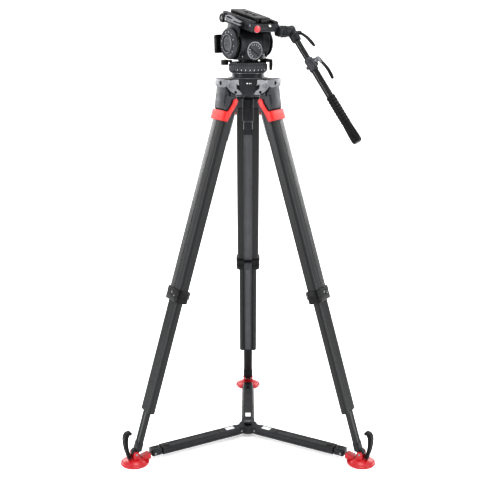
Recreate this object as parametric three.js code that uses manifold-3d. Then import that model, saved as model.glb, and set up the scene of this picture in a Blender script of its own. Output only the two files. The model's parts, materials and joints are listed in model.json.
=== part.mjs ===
// A fluid-head camera tripod: three two-stage carbon legs on a ground spreader, a 100 mm bowl,
// and a fluid head with a sliding camera plate and a telescopic pan bar.
// Millimetres, +Z up. The origin is on the floor at the middle of the footprint.
import * as THREE from "three";
import { mergeVertices } from "three/addons/utils/BufferGeometryUtils.js";
import Module from "manifold-3d";

// Stance
const footRadius = 44;
const leanAngle = THREE.MathUtils.degToRad(17); // of each leg from the vertical
const hingeRadius = 78; // tripod axis to the leg hinge
const hingeHeight = 1148;
const hingePinRadius = 6;
const legAzimuths = [90, 210, 330];

// Legs, measured down the leg from its hinge
const tubeOffset = -21; // the tube's middle lies inboard of the hinge
const upperTube = { top: 76, bottom: 655, halfDepth: 17, halfWidth: 35.5, wall: 3, rib: 3 };
const midTube = { top: 530, bottom: 1022, halfDepth: 12.5, halfWidth: 30, wall: 2.5, rib: 1 };
const lowerTube = { top: 700, bottom: 1146, halfDepth: 8, halfWidth: 15.5, wall: 2.2, rib: 0 };
const lowerShift = 1.6; // the lower tube sits towards the outer face
const anklePivot = { outward: -12.7, down: 1161, height: 34 };
const anklePinRadius = 4;
const ankleRadius = // tripod axis to the middle of a foot
  hingeRadius + anklePivot.outward * Math.cos(leanAngle) + anklePivot.down * Math.sin(leanAngle);
const brakePivot = { outward: -27, down: 42 };
const collar = { top: 628, bottom: 667, grow: 4.5 };

// Bowl and head
const bowlHeight = 1166; // middle of the ball and the rim of the bowl
const ballRadius = 49.5;
const bowlInnerRadius = 50.6;
const bowlOuterRadius = 54.5;
const panAngle = THREE.MathUtils.degToRad(32); // the head's own turn on the tripod
const tiltAxisHeight = 99; // above the bowl's rim
const tiltAngle = THREE.MathUtils.degToRad(10); // front of the platform raised
const drumRadius = 45;
const drumHalfLength = 50;
const deckBottom = 49; // these three are above the tilt axis
const deckTop = 72;
const plateTop = 86;
const plateWidth = 52;

// Pan bar
const barStart = new THREE.Vector3(88, -90, 51); // in the tilting frame
const barDrop = THREE.MathUtils.degToRad(52); // below the horizontal
const barSplay = THREE.MathUtils.degToRad(20); // outward from straight back
const barLength = 385;

const gap = 0.3; // between pieces that touch
const fineSegments = 28;
const coarseSegments = 16;

const wasm = await Module();
wasm.setup();

const materials = {
  castMetal: material(0x2e3033, 0.5, 0.5),
  lightMetal: material(0x6d7075, 0.42, 0.7),
  carbon: material(0x1c1d1f, 0.38, 0.15),
  blackPlastic: material(0x151618, 0.55, 0),
  redPlastic: material(0xc8281e, 0.35, 0),
  redRubber: material(0xb8101c, 0.5, 0),
  blackRubber: material(0x121212, 0.8, 0),
  steel: material(0xa8abb0, 0.3, 0.9),
  clearCap: material(0xdfe6dc, 0.15, 0),
};

function material(color, roughness, metalness) {
  return new THREE.MeshStandardMaterial({ color, roughness, metalness });
}

// --- solids and joins -------------------------------------------------------------------------

function toSolid(geometry) {
  const bare = geometry.clone();
  bare.deleteAttribute("normal");
  bare.deleteAttribute("uv");
  const merged = mergeVertices(bare, 1e-4);
  const mesh = new wasm.Mesh({
    numProp: 3,
    vertProperties: merged.attributes.position.array,
    triVerts: new Uint32Array(merged.index.array),
  });
  return new wasm.Manifold(mesh);
}

function toGeometry(solid) {
  const mesh = solid.getMesh();
  const geometry = new THREE.BufferGeometry();
  geometry.setAttribute("position", new THREE.BufferAttribute(mesh.vertProperties, 3));
  geometry.setIndex(new THREE.BufferAttribute(mesh.triVerts, 1));
  return geometry;
}

function join(...pieces) {
  return toGeometry(pieces.map(toSolid).reduce((sum, piece) => sum.add(piece)));
}

function cut(body, ...tools) {
  return toGeometry(tools.map(toSolid).reduce((left, tool) => left.subtract(tool), toSolid(body)));
}

// --- basic shapes, each made where it lies ------------------------------------------------------

function block(lowX, highX, lowY, highY, lowZ, highZ) {
  const box = new THREE.BoxGeometry(highX - lowX, highY - lowY, highZ - lowZ);
  return box.translate((lowX + highX) / 2, (lowY + highY) / 2, (lowZ + highZ) / 2);
}

function rodX(radius, lowX, highX, y, z, segments = coarseSegments) {
  const rod = new THREE.CylinderGeometry(radius, radius, highX - lowX, segments);
  return rod.rotateZ(Math.PI / 2).translate((lowX + highX) / 2, y, z);
}

function rodY(radius, lowY, highY, x, z, segments = coarseSegments) {
  const rod = new THREE.CylinderGeometry(radius, radius, highY - lowY, segments);
  return rod.translate(x, (lowY + highY) / 2, z);
}

function rodZ(radius, lowZ, highZ, x = 0, y = 0, segments = coarseSegments) {
  const rod = new THREE.CylinderGeometry(radius, radius, highZ - lowZ, segments);
  return rod.rotateX(Math.PI / 2).translate(x, y, (lowZ + highZ) / 2);
}

// A turned piece about Z: the profile lists [radius, height] from the bottom up.
function turned(profile, segments = fineSegments) {
  const points = profile.map(([radius, height]) => new THREE.Vector2(radius, height));
  return new THREE.LatheGeometry(points, segments).rotateX(Math.PI / 2);
}

// A ring about Z, with a square section.
function ring(innerRadius, outerRadius, lowZ, highZ, segments = fineSegments) {
  const outside = rodZ(outerRadius, lowZ, highZ, 0, 0, segments);
  return cut(outside, rodZ(innerRadius, lowZ - 1, highZ + 1, 0, 0, segments));
}

// An outline of [x, z] points, pushed through from lowY to highY.
function plateXZ(outline, lowY, highY) {
  const shape = new THREE.Shape(outline.map(([x, z]) => new THREE.Vector2(x, z)));
  const plate = new THREE.ExtrudeGeometry(shape, { depth: highY - lowY, bevelEnabled: false });
  return plate.rotateX(Math.PI / 2).translate(0, highY, 0);
}

// --- leg tubes ----------------------------------------------------------------------------------

// The tube's outline: flat faces with wide chamfers, and a raised rib down the inboard face.
function tubeOutline({ halfDepth, halfWidth, rib }, shrink) {
  const depth = halfDepth - shrink;
  const width = halfWidth - shrink;
  const chamfer = depth * 0.75;
  const ribHalf = width * 0.44;
  const ribHeight = shrink > 0 ? 0 : rib;
  const points = [
    [depth, -(width - chamfer)],
    [depth, width - chamfer],
    [depth - chamfer, width],
    [-(depth - chamfer * 0.6), width],
    [-depth, width - chamfer * 0.6],
  ];
  if (ribHeight > 0) {
    points.push([-depth, ribHalf], [-(depth + ribHeight), ribHalf - 1]);
    points.push([-(depth + ribHeight), -(ribHalf - 1)], [-depth, -ribHalf]);
  }
  points.push(
    [-depth, -(width - chamfer * 0.6)],
    [-(depth - chamfer * 0.6), -width],
    [depth - chamfer, -width],
  );
  return points.map(([x, y]) => new THREE.Vector2(x, y));
}

function legTube(tube, centre) {
  const shape = new THREE.Shape(tubeOutline(tube, 0));
  shape.holes.push(new THREE.Path(tubeOutline(tube, tube.wall)));
  const depth = tube.bottom - tube.top;
  const solid = new THREE.ExtrudeGeometry(shape, { depth, bevelEnabled: false });
  return solid.translate(centre, 0, -tube.bottom);
}

// The solid envelope of a tube grown by a clearance, used to bore what surrounds it.
function tubeBore(tube, clearance, top, bottom) {
  const grown = {
    halfDepth: tube.halfDepth + clearance,
    halfWidth: tube.halfWidth + clearance,
    rib: tube.rib,
  };
  const shape = new THREE.Shape(tubeOutline(grown, 0));
  const solid = new THREE.ExtrudeGeometry(shape, { depth: bottom - top, bevelEnabled: false });
  return solid.translate(tubeOffset, 0, -bottom);
}

// --- assembly helpers ---------------------------------------------------------------------------

const tripod = new THREE.Group();
tripod.position.y = -ankleRadius / 4; // middle of the footprint

function frame(parent, name, position = [0, 0, 0]) {
  const group = new THREE.Group();
  group.name = name;
  group.position.set(...position);
  parent.add(group);
  return group;
}

function add(parent, name, geometry, look) {
  const mesh = new THREE.Mesh(geometry, look);
  mesh.name = name;
  parent.add(mesh);
  return mesh;
}

// --- legs ---------------------------------------------------------------------------------------

function makeYoke() {
  const side = [
    [-9, 4],
    [9, 4],
    [12, -12],
    [2, -60],
    [-4, -75.6],
    [-50, -75.6],
    [-50, -42],
    [-20, -14],
    [-12, 0],
  ];
  const body = plateXZ(side, -28, 28);
  const shoulder = plateXZ(
    [
      [3, -34],
      [-4, -75.6],
      [-38, -75.6],
      [-42, -34],
    ],
    -34.5,
    34.5,
  );
  const barrel = rodY(10.5, -28, 28, 0, 0);
  const plug = block(tubeOffset - 12, tubeOffset + 11, -20, 20, -108, -70);
  const brakeBoss = rodY(6, -35.6, 35.6, brakePivot.outward, -brakePivot.down, coarseSegments);
  const releaseBar = block(-50, -41.4, -15, 15, -160, -60);
  const pinRoom = rodY(hingePinRadius + gap, -40, 40, 0, 0);
  return cut(join(body, shoulder, barrel, plug, brakeBoss, releaseBar), pinRoom);
}

function makeBrakeLever() {
  const side = [
    [-34, -38],
    [-24, -34],
    [-17, -42],
    [-8, -77],
    [1.8, -77],
    [1.8, -107],
    [-15, -107],
    [-35, -48],
  ];
  const stirrup = plateXZ(side, -40.2, 40.2);
  const legRoom = block(-66, -2.4, -36.2, 36.2, -140, 0);
  return cut(stirrup, legRoom);
}

function makeCollar() {
  const outer = { ...upperTube, halfDepth: upperTube.halfDepth + collar.grow, rib: 1 };
  outer.halfWidth = upperTube.halfWidth + collar.grow;
  const sleeve = tubeBore(outer, 0, collar.top, collar.bottom);
  const clip = block(tubeOffset - 36, tubeOffset - 16, -14, 14, -658, -632);
  const clipMouth = block(tubeOffset - 31, tubeOffset - 25, -15, 15, -650, -640);
  const upperRoom = tubeBore(upperTube, gap, collar.top - 1, upperTube.bottom + gap);
  const midRoom = tubeBore(midTube, 1.2, collar.top, collar.bottom + 1);
  return cut(join(sleeve, clip), upperRoom, midRoom, clipMouth);
}

function makeLowerTube() {
  const centre = tubeOffset + lowerShift;
  const tube = legTube(lowerTube, centre);
  const shank = block(centre - 5, centre + 5, -11, 11, -lowerTube.bottom - 14, -lowerTube.bottom + 14);
  const capPlate = block(centre - 8, centre + 8, -15, 15, -lowerTube.bottom - 3, -lowerTube.bottom + 2);
  const knuckle = rodY(9, -11, 11, anklePivot.outward, -anklePivot.down);
  const neck = block(centre - 5, anklePivot.outward + 6, -11, 11, -anklePivot.down, -lowerTube.bottom);
  const pinRoom = rodY(anklePinRadius + gap, -12, 12, anklePivot.outward, -anklePivot.down);
  return cut(join(tube, capPlate, shank, neck, knuckle), pinRoom);
}

// The foot is drawn about its ankle pin, with the floor a pivot height below.
function makeFoot() {
  const floor = -anklePivot.height;
  const tread = turned([
    [0, floor],
    [footRadius - 3, floor],
    [footRadius, floor + 2],
    [footRadius, floor + 6],
    [footRadius - 6, floor + 10],
    [24, floor + 16],
    [0, floor + 18],
  ]);
  const ears = block(-9, 9, -17, 17, floor + 12, 8);
  const earGap = block(-20, 20, -11.4, 11.4, floor + 20.5, 20);
  const pin = rodY(anklePinRadius, -16, 16, 0, 0);
  const lug = block(-38, -20, -14, 14, floor + 6, floor + 20);
  return join(cut(join(tread, ears, lug), earGap), pin);
}

// A rubber pull strap that stands beside the lower tube and hooks over at its top.
function makeStrap() {
  const outline = [
    [-5, 0],
    [5, 0],
    [9, 24],
    [15, 60],
    [13, 78],
    [2, 88],
    [-9, 86],
    [-10, 77],
    [-2, 77],
    [4, 70],
    [5, 58],
    [-2, 26],
  ];
  return plateXZ(outline, -9, 9);
}

function makeLeg(azimuth, number) {
  const side = frame(tripod, `leg_plane_${number}`);
  side.rotation.z = THREE.MathUtils.degToRad(azimuth);

  const leg = frame(side, `leg_${number}`, [hingeRadius, 0, hingeHeight]);
  leg.rotation.y = -leanAngle;
  add(leg, `leg_yoke_${number}`, makeYoke(), materials.castMetal);
  add(leg, `upper_tube_${number}`, legTube(upperTube, tubeOffset), materials.carbon);
  add(leg, `tube_collar_${number}`, makeCollar(), materials.blackPlastic);
  add(leg, `brake_lever_${number}`, makeBrakeLever(), materials.redPlastic);
  add(leg, `middle_tube_${number}`, legTube(midTube, tubeOffset), materials.carbon);
  add(leg, `lower_tube_${number}`, makeLowerTube(), materials.carbon);
  frame(leg, `brake_pivot_${number}`, [brakePivot.outward, 0, -brakePivot.down]);

  const foot = frame(side, `ankle_${number}`, [ankleRadius, 0, anklePivot.height]);
  add(foot, `foot_${number}`, makeFoot(), materials.redRubber);
  const strap = frame(foot, `strap_pivot_${number}`, [19, 0, 23 - anklePivot.height]);
  add(strap, `foot_strap_${number}`, makeStrap(), materials.blackRubber);
}

legAzimuths.forEach((azimuth, index) => makeLeg(azimuth, index + 1));

// --- ground spreader ----------------------------------------------------------------------------

const spreader = { low: 12, high: 36, sleeveStart: 40, sleeveEnd: 316, sleeveHalf: 21, tipEnd: 350 };

function makeHub() {
  const disc = rodZ(30, spreader.low, spreader.high, 0, 0, fineSegments);
  const arms = legAzimuths.map((azimuth) =>
    block(0, spreader.sleeveStart - gap, -17, 17, spreader.low, spreader.high).rotateZ(
      THREE.MathUtils.degToRad(azimuth),
    ),
  );
  return join(disc, ...arms);
}

function makeSleeve() {
  const { low, high, sleeveStart, sleeveEnd, sleeveHalf } = spreader;
  const outer = new THREE.Shape([
    new THREE.Vector2(-sleeveHalf, low + 6),
    new THREE.Vector2(-sleeveHalf + 6, low),
    new THREE.Vector2(sleeveHalf - 6, low),
    new THREE.Vector2(sleeveHalf, low + 6),
    new THREE.Vector2(sleeveHalf, high - 6),
    new THREE.Vector2(sleeveHalf - 6, high),
    new THREE.Vector2(-sleeveHalf + 6, high),
    new THREE.Vector2(-sleeveHalf, high - 6),
  ]);
  const length = sleeveEnd - sleeveStart;
  const bar = new THREE.ExtrudeGeometry(outer, { depth: length, bevelEnabled: false });
  bar.rotateX(Math.PI / 2).rotateZ(Math.PI / 2).translate(sleeveStart, 0, 0);
  const room = block(sleeveStart + 30, sleeveEnd + 1, -15.5, 15.5, low + 5.5, high - 5.5);
  return cut(bar, room);
}

function makeTip() {
  const { low, high, sleeveEnd, tipEnd } = spreader;
  const tongue = block(150, tipEnd - 6, -14.5, 14.5, low + 6.5, high - 6.5);
  const socket = block(sleeveEnd + 4, tipEnd, -17, 17, low + 1, high - 1);
  return join(tongue, socket);
}

const hubFrame = frame(tripod, "spreader");
add(hubFrame, "spreader_hub", makeHub(), materials.castMetal);
const hubCap = turned([
  [0, spreader.high + gap],
  [12, spreader.high + gap],
  [12, spreader.high + 6],
  [8, spreader.high + 10],
  [0, spreader.high + 10],
]);
add(hubFrame, "spreader_cap", hubCap, materials.blackPlastic);
legAzimuths.forEach((azimuth, index) => {
  const arm = frame(hubFrame, `spreader_arm_frame_${index + 1}`);
  arm.rotation.z = THREE.MathUtils.degToRad(azimuth);
  add(arm, `spreader_sleeve_${index + 1}`, makeSleeve(), materials.carbon);
  add(arm, `spreader_tip_${index + 1}`, makeTip(), materials.blackPlastic);
});

// --- crown and bowl -----------------------------------------------------------------------------

// The crown carries the bowl and has a clevis for each leg. Heights are from the bowl's rim.
function makeCrown() {
  const core = turned([
    [0, -56],
    [42, -56],
    [58.5, -38],
    [62, -12],
    [62, -2],
    [0, -2],
  ]);
  const pieces = [core];
  for (const azimuth of legAzimuths) {
    const turn = THREE.MathUtils.degToRad(azimuth);
    const cheekSide = [
      [40, -50],
      [62, -48],
      [80, -38],
      [91, -24],
      [91, -2],
      [40, -2],
    ];
    for (const side of [-1, 1]) {
      const near = side > 0 ? 28.6 : -35;
      pieces.push(plateXZ(cheekSide, near, near + 6.4).rotateZ(turn));
    }
    pieces.push(block(40, 91, -35, 35, -6.5, -2).rotateZ(turn));
  }
  const solid = join(...pieces);
  const bowlRoom = turned([
    [0, -50],
    [36.6, -50],
    [bowlOuterRadius + gap, -38.4],
    [bowlOuterRadius + gap, 1],
    [0, 1],
  ]);
  const hollow = cut(solid, bowlRoom, rodZ(31, -60, -40));
  const pins = legAzimuths.map((azimuth) =>
    rodY(hingePinRadius, -30, 30, hingeRadius, hingeHeight - bowlHeight).rotateZ(
      THREE.MathUtils.degToRad(azimuth),
    ),
  );
  return join(hollow, ...pins);
}

function makeBowl() {
  const steps = 5;
  const wall = [];
  for (let step = 0; step <= steps; step += 1) {
    const angle = THREE.MathUtils.lerp(Math.PI / 2, Math.asin(22 / bowlInnerRadius), step / steps);
    wall.push([bowlInnerRadius * Math.sin(angle), -bowlInnerRadius * Math.cos(angle)]);
  }
  const inside = [[22, -60], ...wall.reverse(), [bowlInnerRadius, 2]];
  const outside = turned([
    [0, -49.6],
    [36, -49.6],
    [bowlOuterRadius, -38],
    [bowlOuterRadius, 0],
    [0, 0],
  ]);
  const hollow = turned([[0, -60], ...inside, [0, 2]]);
  return cut(outside, hollow);
}

const crownFrame = frame(tripod, "crown", [0, 0, bowlHeight]);
add(crownFrame, "crown", makeCrown(), materials.castMetal);
add(crownFrame, "bowl", makeBowl(), materials.lightMetal);

// --- fluid head: everything that pans, in the head's own frame ----------------------------------

// The counterbalance dial is sunk in the rear of the housing, clear of the platform's sweep.
const dial = { radius: 28, front: -48, back: -41, offset: -5, height: tiltAxisHeight - 20 };

// Heights are from the bowl's rim; X points to the operator's right, Y to the front.
const base = { neckTop: 14, ringTop: 44, ringRadius: 57.5, shaftRadius: 24, shaftTop: 42 };

function makeHalfBall() {
  const lowest = -38;
  const steps = 5;
  const profile = [[0, lowest]];
  for (let step = 0; step <= steps; step += 1) {
    const height = lowest * (1 - step / steps);
    profile.push([Math.sqrt(ballRadius ** 2 - height ** 2), height]);
  }
  profile.push([48, 1], [48, base.neckTop], [base.shaftRadius, base.neckTop]);
  profile.push([base.shaftRadius, base.shaftTop], [0, base.shaftTop]);
  const stem = rodZ(8, -84, lowest + 1);
  return join(turned(profile), stem);
}

function makeTieDownKnob() {
  const knob = turned([
    [0, -134],
    [14, -134],
    [17.5, -130],
    [17.5, -62],
    [25, -58],
    [25, -53],
    [0, -53],
  ]);
  const stemRoom = rodZ(8 + gap, -85, -50);
  return cut(knob, stemRoom);
}

function makeBubbleLevel() {
  const cup = rodZ(10, 36, 50, -63, 30);
  const arm = block(-66, -44, 18, 32, base.ringTop + gap, 50);
  return join(cup, arm);
}

function makePanBrakeLever() {
  const pivot = rodZ(12, base.ringTop + gap, 52, 44, -34);
  const arm = block(36, 74, -7, 7, base.ringTop + gap, 52).rotateZ(-Math.PI / 4.9);
  const handle = block(64, 73, -8, 8, 20, 51).rotateZ(-Math.PI / 4.9);
  return join(pivot, arm, handle);
}

function makeHousing() {
  const axis = tiltAxisHeight;
  const drum = rodX(drumRadius, -drumHalfLength, drumHalfLength, 0, axis, fineSegments);
  const skirt = turned([
    [0, 52.4],
    [52, 52.4],
    [50, 66],
    [46, 92],
    [0, 92],
  ]);
  const seat = rodZ(30, base.ringTop + gap, 54);
  const rearBoss = rodY(31, -43, 0, dial.offset, dial.height, fineSegments);
  const dialRoom = rodY(dial.radius + gap, -60, dial.back + gap, dial.offset, dial.height, fineSegments);
  const coreRoom = rodX(24, -drumHalfLength - 1, drumHalfLength + 1, 0, axis, fineSegments);
  const shaftRoom = rodZ(base.shaftRadius + 1, base.ringTop - 1, 60);
  return cut(join(drum, skirt, seat, rearBoss), dialRoom, coreRoom, shaftRoom);
}

// The drag unit fills the drum and carries the platform's cheeks on its ends.
function makeDragUnit() {
  return rodX(23.6, -drumHalfLength - 1.5, drumHalfLength + 1.5, 0, 0, fineSegments);
}

// A ring behind the drag disc, with a paddle that stands out past the disc's front edge.
function makeTiltBrakeLever() {
  const axis = tiltAxisHeight;
  const hub = cut(rodX(46, -61.8, -58.3, 0, axis, fineSegments), rodX(23, -70, -50, 0, axis));
  const paddle = block(-82, -58.3, 47, 62, axis - 30, axis + 25);
  const web = block(-61.8, -58.3, 30, 50, axis - 20, axis + 18);
  return join(hub, web, paddle);
}

function makeCounterDial() {
  const { radius, front, back, offset, height } = dial;
  const face = rodY(radius, front + 2, back, offset, height, fineSegments);
  const grip = block(offset - radius + 2, offset + radius - 2, front, back, height - 4, height + 4);
  return join(face, grip);
}

const headFrame = frame(tripod, "head", [0, 0, bowlHeight]);
headFrame.rotation.z = panAngle;
add(headFrame, "half_ball", makeHalfBall(), materials.castMetal);
add(headFrame, "tie_down_knob", makeTieDownKnob(), materials.blackPlastic);
const bearing = ring(base.shaftRadius + gap, 38, base.neckTop + 2, 40);
add(headFrame, "pan_bearing", bearing, materials.steel);
const dragRing = turned([
  [39, base.neckTop + 1],
  [53, base.neckTop + 1],
  [base.ringRadius, base.neckTop + 5],
  [base.ringRadius, base.ringTop - 4],
  [base.ringRadius - 3, base.ringTop],
  [39, base.ringTop],
  [39, base.neckTop + 1],
]);
add(headFrame, "pan_drag_ring", dragRing, materials.blackPlastic);
add(headFrame, "head_housing", makeHousing(), materials.castMetal);
add(headFrame, "pan_brake_lever", makePanBrakeLever(), materials.blackPlastic);
add(headFrame, "bubble_level", makeBubbleLevel(), materials.clearCap);
add(headFrame, "counterbalance_dial", makeCounterDial(), materials.castMetal);
add(headFrame, "tilt_brake_lever", makeTiltBrakeLever(), materials.blackPlastic);
frame(headFrame, "pan_brake_pivot", [44, -34, 48]);
frame(headFrame, "counter_dial_axis", [dial.offset, dial.front, dial.height]);

// --- fluid head: everything that tilts, about its own axis --------------------------------------

const cheek = { near: 50.4, far: 58, radius: 34 };
const buttonPlace = { x: -33, z: 60 };
const shelfTop = 57; // the cheeks' tops, below the plate lever

function makePlatform() {
  const deck = block(-46, 46, -92, 84, deckBottom, deckTop);
  const leftRail = block(-46, -29, -80, 84, deckTop - 1, deckTop + 7);
  const rightRail = block(29, 46, -80, 84, deckTop - 1, deckTop + 7);
  const pieces = [deck, leftRail, rightRail];
  for (const side of [-1, 1]) {
    const low = side < 0 ? -cheek.far : cheek.near;
    const plate = rodX(cheek.radius, low, low + cheek.far - cheek.near, 0, 0, fineSegments);
    const web = block(low, low + cheek.far - cheek.near, -30, 30, 0, shelfTop);
    const shelf = block(Math.min(low, side * 40), Math.max(low + 7.6, side * 40), -30, 30, 50, shelfTop);
    const shaftRoom = rodX(23.6 + gap, -70, 70, 0, 0, fineSegments);
    pieces.push(cut(join(plate, web, shelf), shaftRoom));
  }
  const bracket = block(40, 60, -104, -76, 37, 65);
  const rosette = rodX(17, 52, 62, barStart.y, barStart.z, fineSegments);
  const buttonRoom = rodY(9 + gap, -95, -89, buttonPlace.x, buttonPlace.z);
  return cut(join(...pieces, bracket, rosette), buttonRoom);
}

function makeCameraPlate() {
  const half = plateWidth / 2;
  const top = block(-half, half, -70, 76, deckTop + gap, plateTop);
  const stop = block(-12, 12, -76, -69, deckTop + gap, plateTop - 3);
  const slot = block(-3.3, 3.3, -40, 45, deckTop, plateTop - 5);
  return cut(join(top, stop), slot);
}

// A bowed lever along the left of the platform, drawn from its pivot at the front.
function makePlateLever() {
  const hub = rodZ(5.5, 58, 71, -52, 44);
  const bar = block(-55, -49, -38, 44, 58, 70);
  const toe = block(-57.8, -50, -50, -34, 58, 70);
  return join(hub, bar, toe);
}

const tiltFrame = frame(headFrame, "tilt", [0, 0, tiltAxisHeight]);
tiltFrame.rotation.x = tiltAngle;
add(tiltFrame, "tilt_drag_unit", makeDragUnit(), materials.steel);
const leftDisc = turned([
  [0, 58.3],
  [22, 58.3],
  [22, 62.2],
  [drumRadius, 62.2],
  [drumRadius, 67],
  [drumRadius - 5, 72],
  [30, 70],
  [26, 74],
  [0, 74],
]);
add(tiltFrame, "tilt_drag_disc", leftDisc.rotateY(-Math.PI / 2), materials.castMetal);
const rightCover = turned([
  [0, 58.3],
  [41, 58.3],
  [38, 65],
  [0, 67],
]);
add(tiltFrame, "right_cover", rightCover.rotateY(Math.PI / 2), materials.castMetal);
add(tiltFrame, "tilt_platform", makePlatform(), materials.castMetal);
add(tiltFrame, "camera_plate", makeCameraPlate(), materials.blackPlastic);
add(tiltFrame, "plate_lever", makePlateLever(), materials.lightMetal);
const plateKnob = rodX(13.5, -58, -46.4, 69, 61, fineSegments);
add(tiltFrame, "plate_lock_knob", plateKnob, materials.blackPlastic);
const button = rodY(9, -97, -92.4, buttonPlace.x, buttonPlace.z);
add(tiltFrame, "release_button", button, materials.redPlastic);
frame(tiltFrame, "plate_lever_pivot", [-52, 44, 61]);
frame(tiltFrame, "plate_knob_axis", [-53, 69, 61]);

// --- pan bar ------------------------------------------------------------------------------------

// The bar's own frame: Z runs out along the bar, X points up from it.
const barDirection = new THREE.Vector3(
  Math.sin(barSplay) * Math.cos(barDrop),
  -Math.cos(barSplay) * Math.cos(barDrop),
  -Math.sin(barDrop),
).applyAxisAngle(new THREE.Vector3(1, 0, 0), -tiltAngle);
const barSide = new THREE.Vector3().crossVectors(barDirection, new THREE.Vector3(0, 0, 1)).normalize();
const barUp = new THREE.Vector3().crossVectors(barSide, barDirection);

const barFrame = frame(tiltFrame, "pan_bar", barStart.toArray());
const barBasis = new THREE.Matrix4().makeBasis(barUp, barSide, barDirection);
barFrame.quaternion.setFromRotationMatrix(barBasis);

const bar = { radius: 9, wall: 1.6, tubeEnd: 215, outerRadius: 10.8, clampStart: 98, clampEnd: 138 };
const grip = { start: 228, radius: 13.6 };

// The clamp's face lies on the rosette, square to the tilt axis.
function makeBarClamp() {
  const disc = rodX(17, 62.4 - barStart.x, 82 - barStart.x, 0, 0, fineSegments);
  disc.applyMatrix4(barBasis.clone().invert());
  const socket = rodZ(13.5, 8, 34);
  const neck = rodZ(11, 0, 20);
  const tubeRoom = rodZ(bar.radius + gap, 14, 40);
  const leverBoss = rodY(6, -13, 13, 10, 14);
  return cut(join(disc, neck, socket, leverBoss), tubeRoom);
}

function makeClampLever() {
  const hub = rodY(6, -21, -13.3, 10, 14);
  const arm = plateXZ(
    [
      [6, 10],
      [14, 8],
      [27, 34],
      [33, 76],
      [26, 78],
      [19, 38],
      [8, 20],
    ],
    -21,
    -13.3,
  );
  return join(hub, arm);
}

function makeBarTube() {
  const tube = rodZ(bar.radius, 14.4, bar.tubeEnd, 0, 0, fineSegments);
  return cut(tube, rodZ(bar.radius - bar.wall, 30, bar.tubeEnd + 1, 0, 0, fineSegments));
}

function makeTelescopeClamp() {
  const sleeve = rodZ(13.4, bar.clampStart, bar.clampEnd, 0, 0, fineSegments);
  const ear = block(11, 20, -6, 6, 108, 128);
  const heel = rodX(5, -20, -11.5, 0, 118);
  const tubeRoom = rodZ(bar.radius + gap, bar.clampStart - 1, bar.clampEnd, 0, 0, fineSegments);
  const seat = rodZ(bar.outerRadius + gap, 112, bar.clampEnd + 1, 0, 0, fineSegments);
  return cut(join(sleeve, ear, heel), tubeRoom, seat);
}

function makeTelescopeLever() {
  const hub = rodX(7, 20.4, 31, 0, 118);
  const arm = plateXZ(
    [
      [26, 110],
      [36, 113],
      [42, 130],
      [43, 192],
      [36, 194],
      [35, 134],
      [30, 124],
    ],
    -5,
    5,
  );
  return join(hub, arm);
}

function makeExtension() {
  const outside = rodZ(bar.outerRadius, 112.4, barLength - 20, 0, 0, fineSegments);
  return cut(outside, rodZ(bar.radius + gap, 112, bar.tubeEnd + 90, 0, 0, fineSegments));
}

function makeGrip() {
  const outside = turned([
    [0, grip.start],
    [grip.radius - 2, grip.start],
    [grip.radius, grip.start + 6],
    [grip.radius, grip.start + 90],
    [grip.radius + 1.4, barLength - 12],
    [grip.radius - 2, barLength - 1],
    [0, barLength],
  ]);
  return cut(outside, rodZ(bar.outerRadius + gap, grip.start - 1, barLength - 20 + gap, 0, 0, fineSegments));
}

add(barFrame, "bar_clamp", makeBarClamp(), materials.castMetal);
add(barFrame, "bar_clamp_lever", makeClampLever(), materials.blackPlastic);
add(barFrame, "bar_tube", makeBarTube(), materials.carbon);
add(barFrame, "telescope_clamp", makeTelescopeClamp(), materials.castMetal);
add(barFrame, "telescope_lever", makeTelescopeLever(), materials.blackPlastic);
add(barFrame, "bar_extension", makeExtension(), materials.carbon);
add(barFrame, "bar_grip", makeGrip(), materials.blackRubber);
frame(barFrame, "bar_lever_pivot", [10, 0, 14]);
frame(barFrame, "telescope_pivot", [25, 0, 118]);

export default tripod;
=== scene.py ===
import json
import math
import bmesh
import bpy
from mathutils import Matrix, Vector


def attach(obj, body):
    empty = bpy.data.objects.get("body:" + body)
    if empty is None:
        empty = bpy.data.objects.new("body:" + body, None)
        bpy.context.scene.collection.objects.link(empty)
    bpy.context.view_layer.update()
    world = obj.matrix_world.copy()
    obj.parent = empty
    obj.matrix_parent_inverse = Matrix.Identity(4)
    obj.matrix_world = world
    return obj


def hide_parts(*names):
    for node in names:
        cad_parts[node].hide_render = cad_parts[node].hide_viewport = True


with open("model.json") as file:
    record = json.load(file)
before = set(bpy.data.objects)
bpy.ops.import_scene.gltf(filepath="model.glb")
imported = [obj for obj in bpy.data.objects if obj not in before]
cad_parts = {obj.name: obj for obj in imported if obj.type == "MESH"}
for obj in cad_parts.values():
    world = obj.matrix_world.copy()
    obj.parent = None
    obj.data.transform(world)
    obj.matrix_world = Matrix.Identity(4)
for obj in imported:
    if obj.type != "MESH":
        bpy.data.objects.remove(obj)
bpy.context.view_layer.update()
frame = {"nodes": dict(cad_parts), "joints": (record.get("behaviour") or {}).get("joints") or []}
joints = {joint["name"]: joint for joint in frame["joints"]}
legNumbers = (1, 2, 3)  # 1 stands at the back, 2 and 3 at the front
thirds = (0, 120, 240)  # degrees between the three legs
print("frame loaded")


# places: every piece is drawn in millimetres in the frame of what it moves with
def placeFrom(origin, xAxis, zAxis):
    x = Vector(xAxis).normalized()
    z = Vector(zAxis).normalized()
    y = z.cross(x)
    turn = Matrix((x, y, z)).transposed().to_4x4()
    return Matrix.Translation(Vector(origin)) @ turn


def crossed(first, second):
    return Vector(first).cross(Vector(second))


def legPlace(number):  # x outward, z up the leg, from the hinge pin
    hinge = joints[f"leg_{number}_spread"]
    alongLeg = joints[f"leg_{number}_middle"]["axis"]
    return placeFrom(hinge["pos_m"], crossed(alongLeg, hinge["axis"]), alongLeg)


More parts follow.
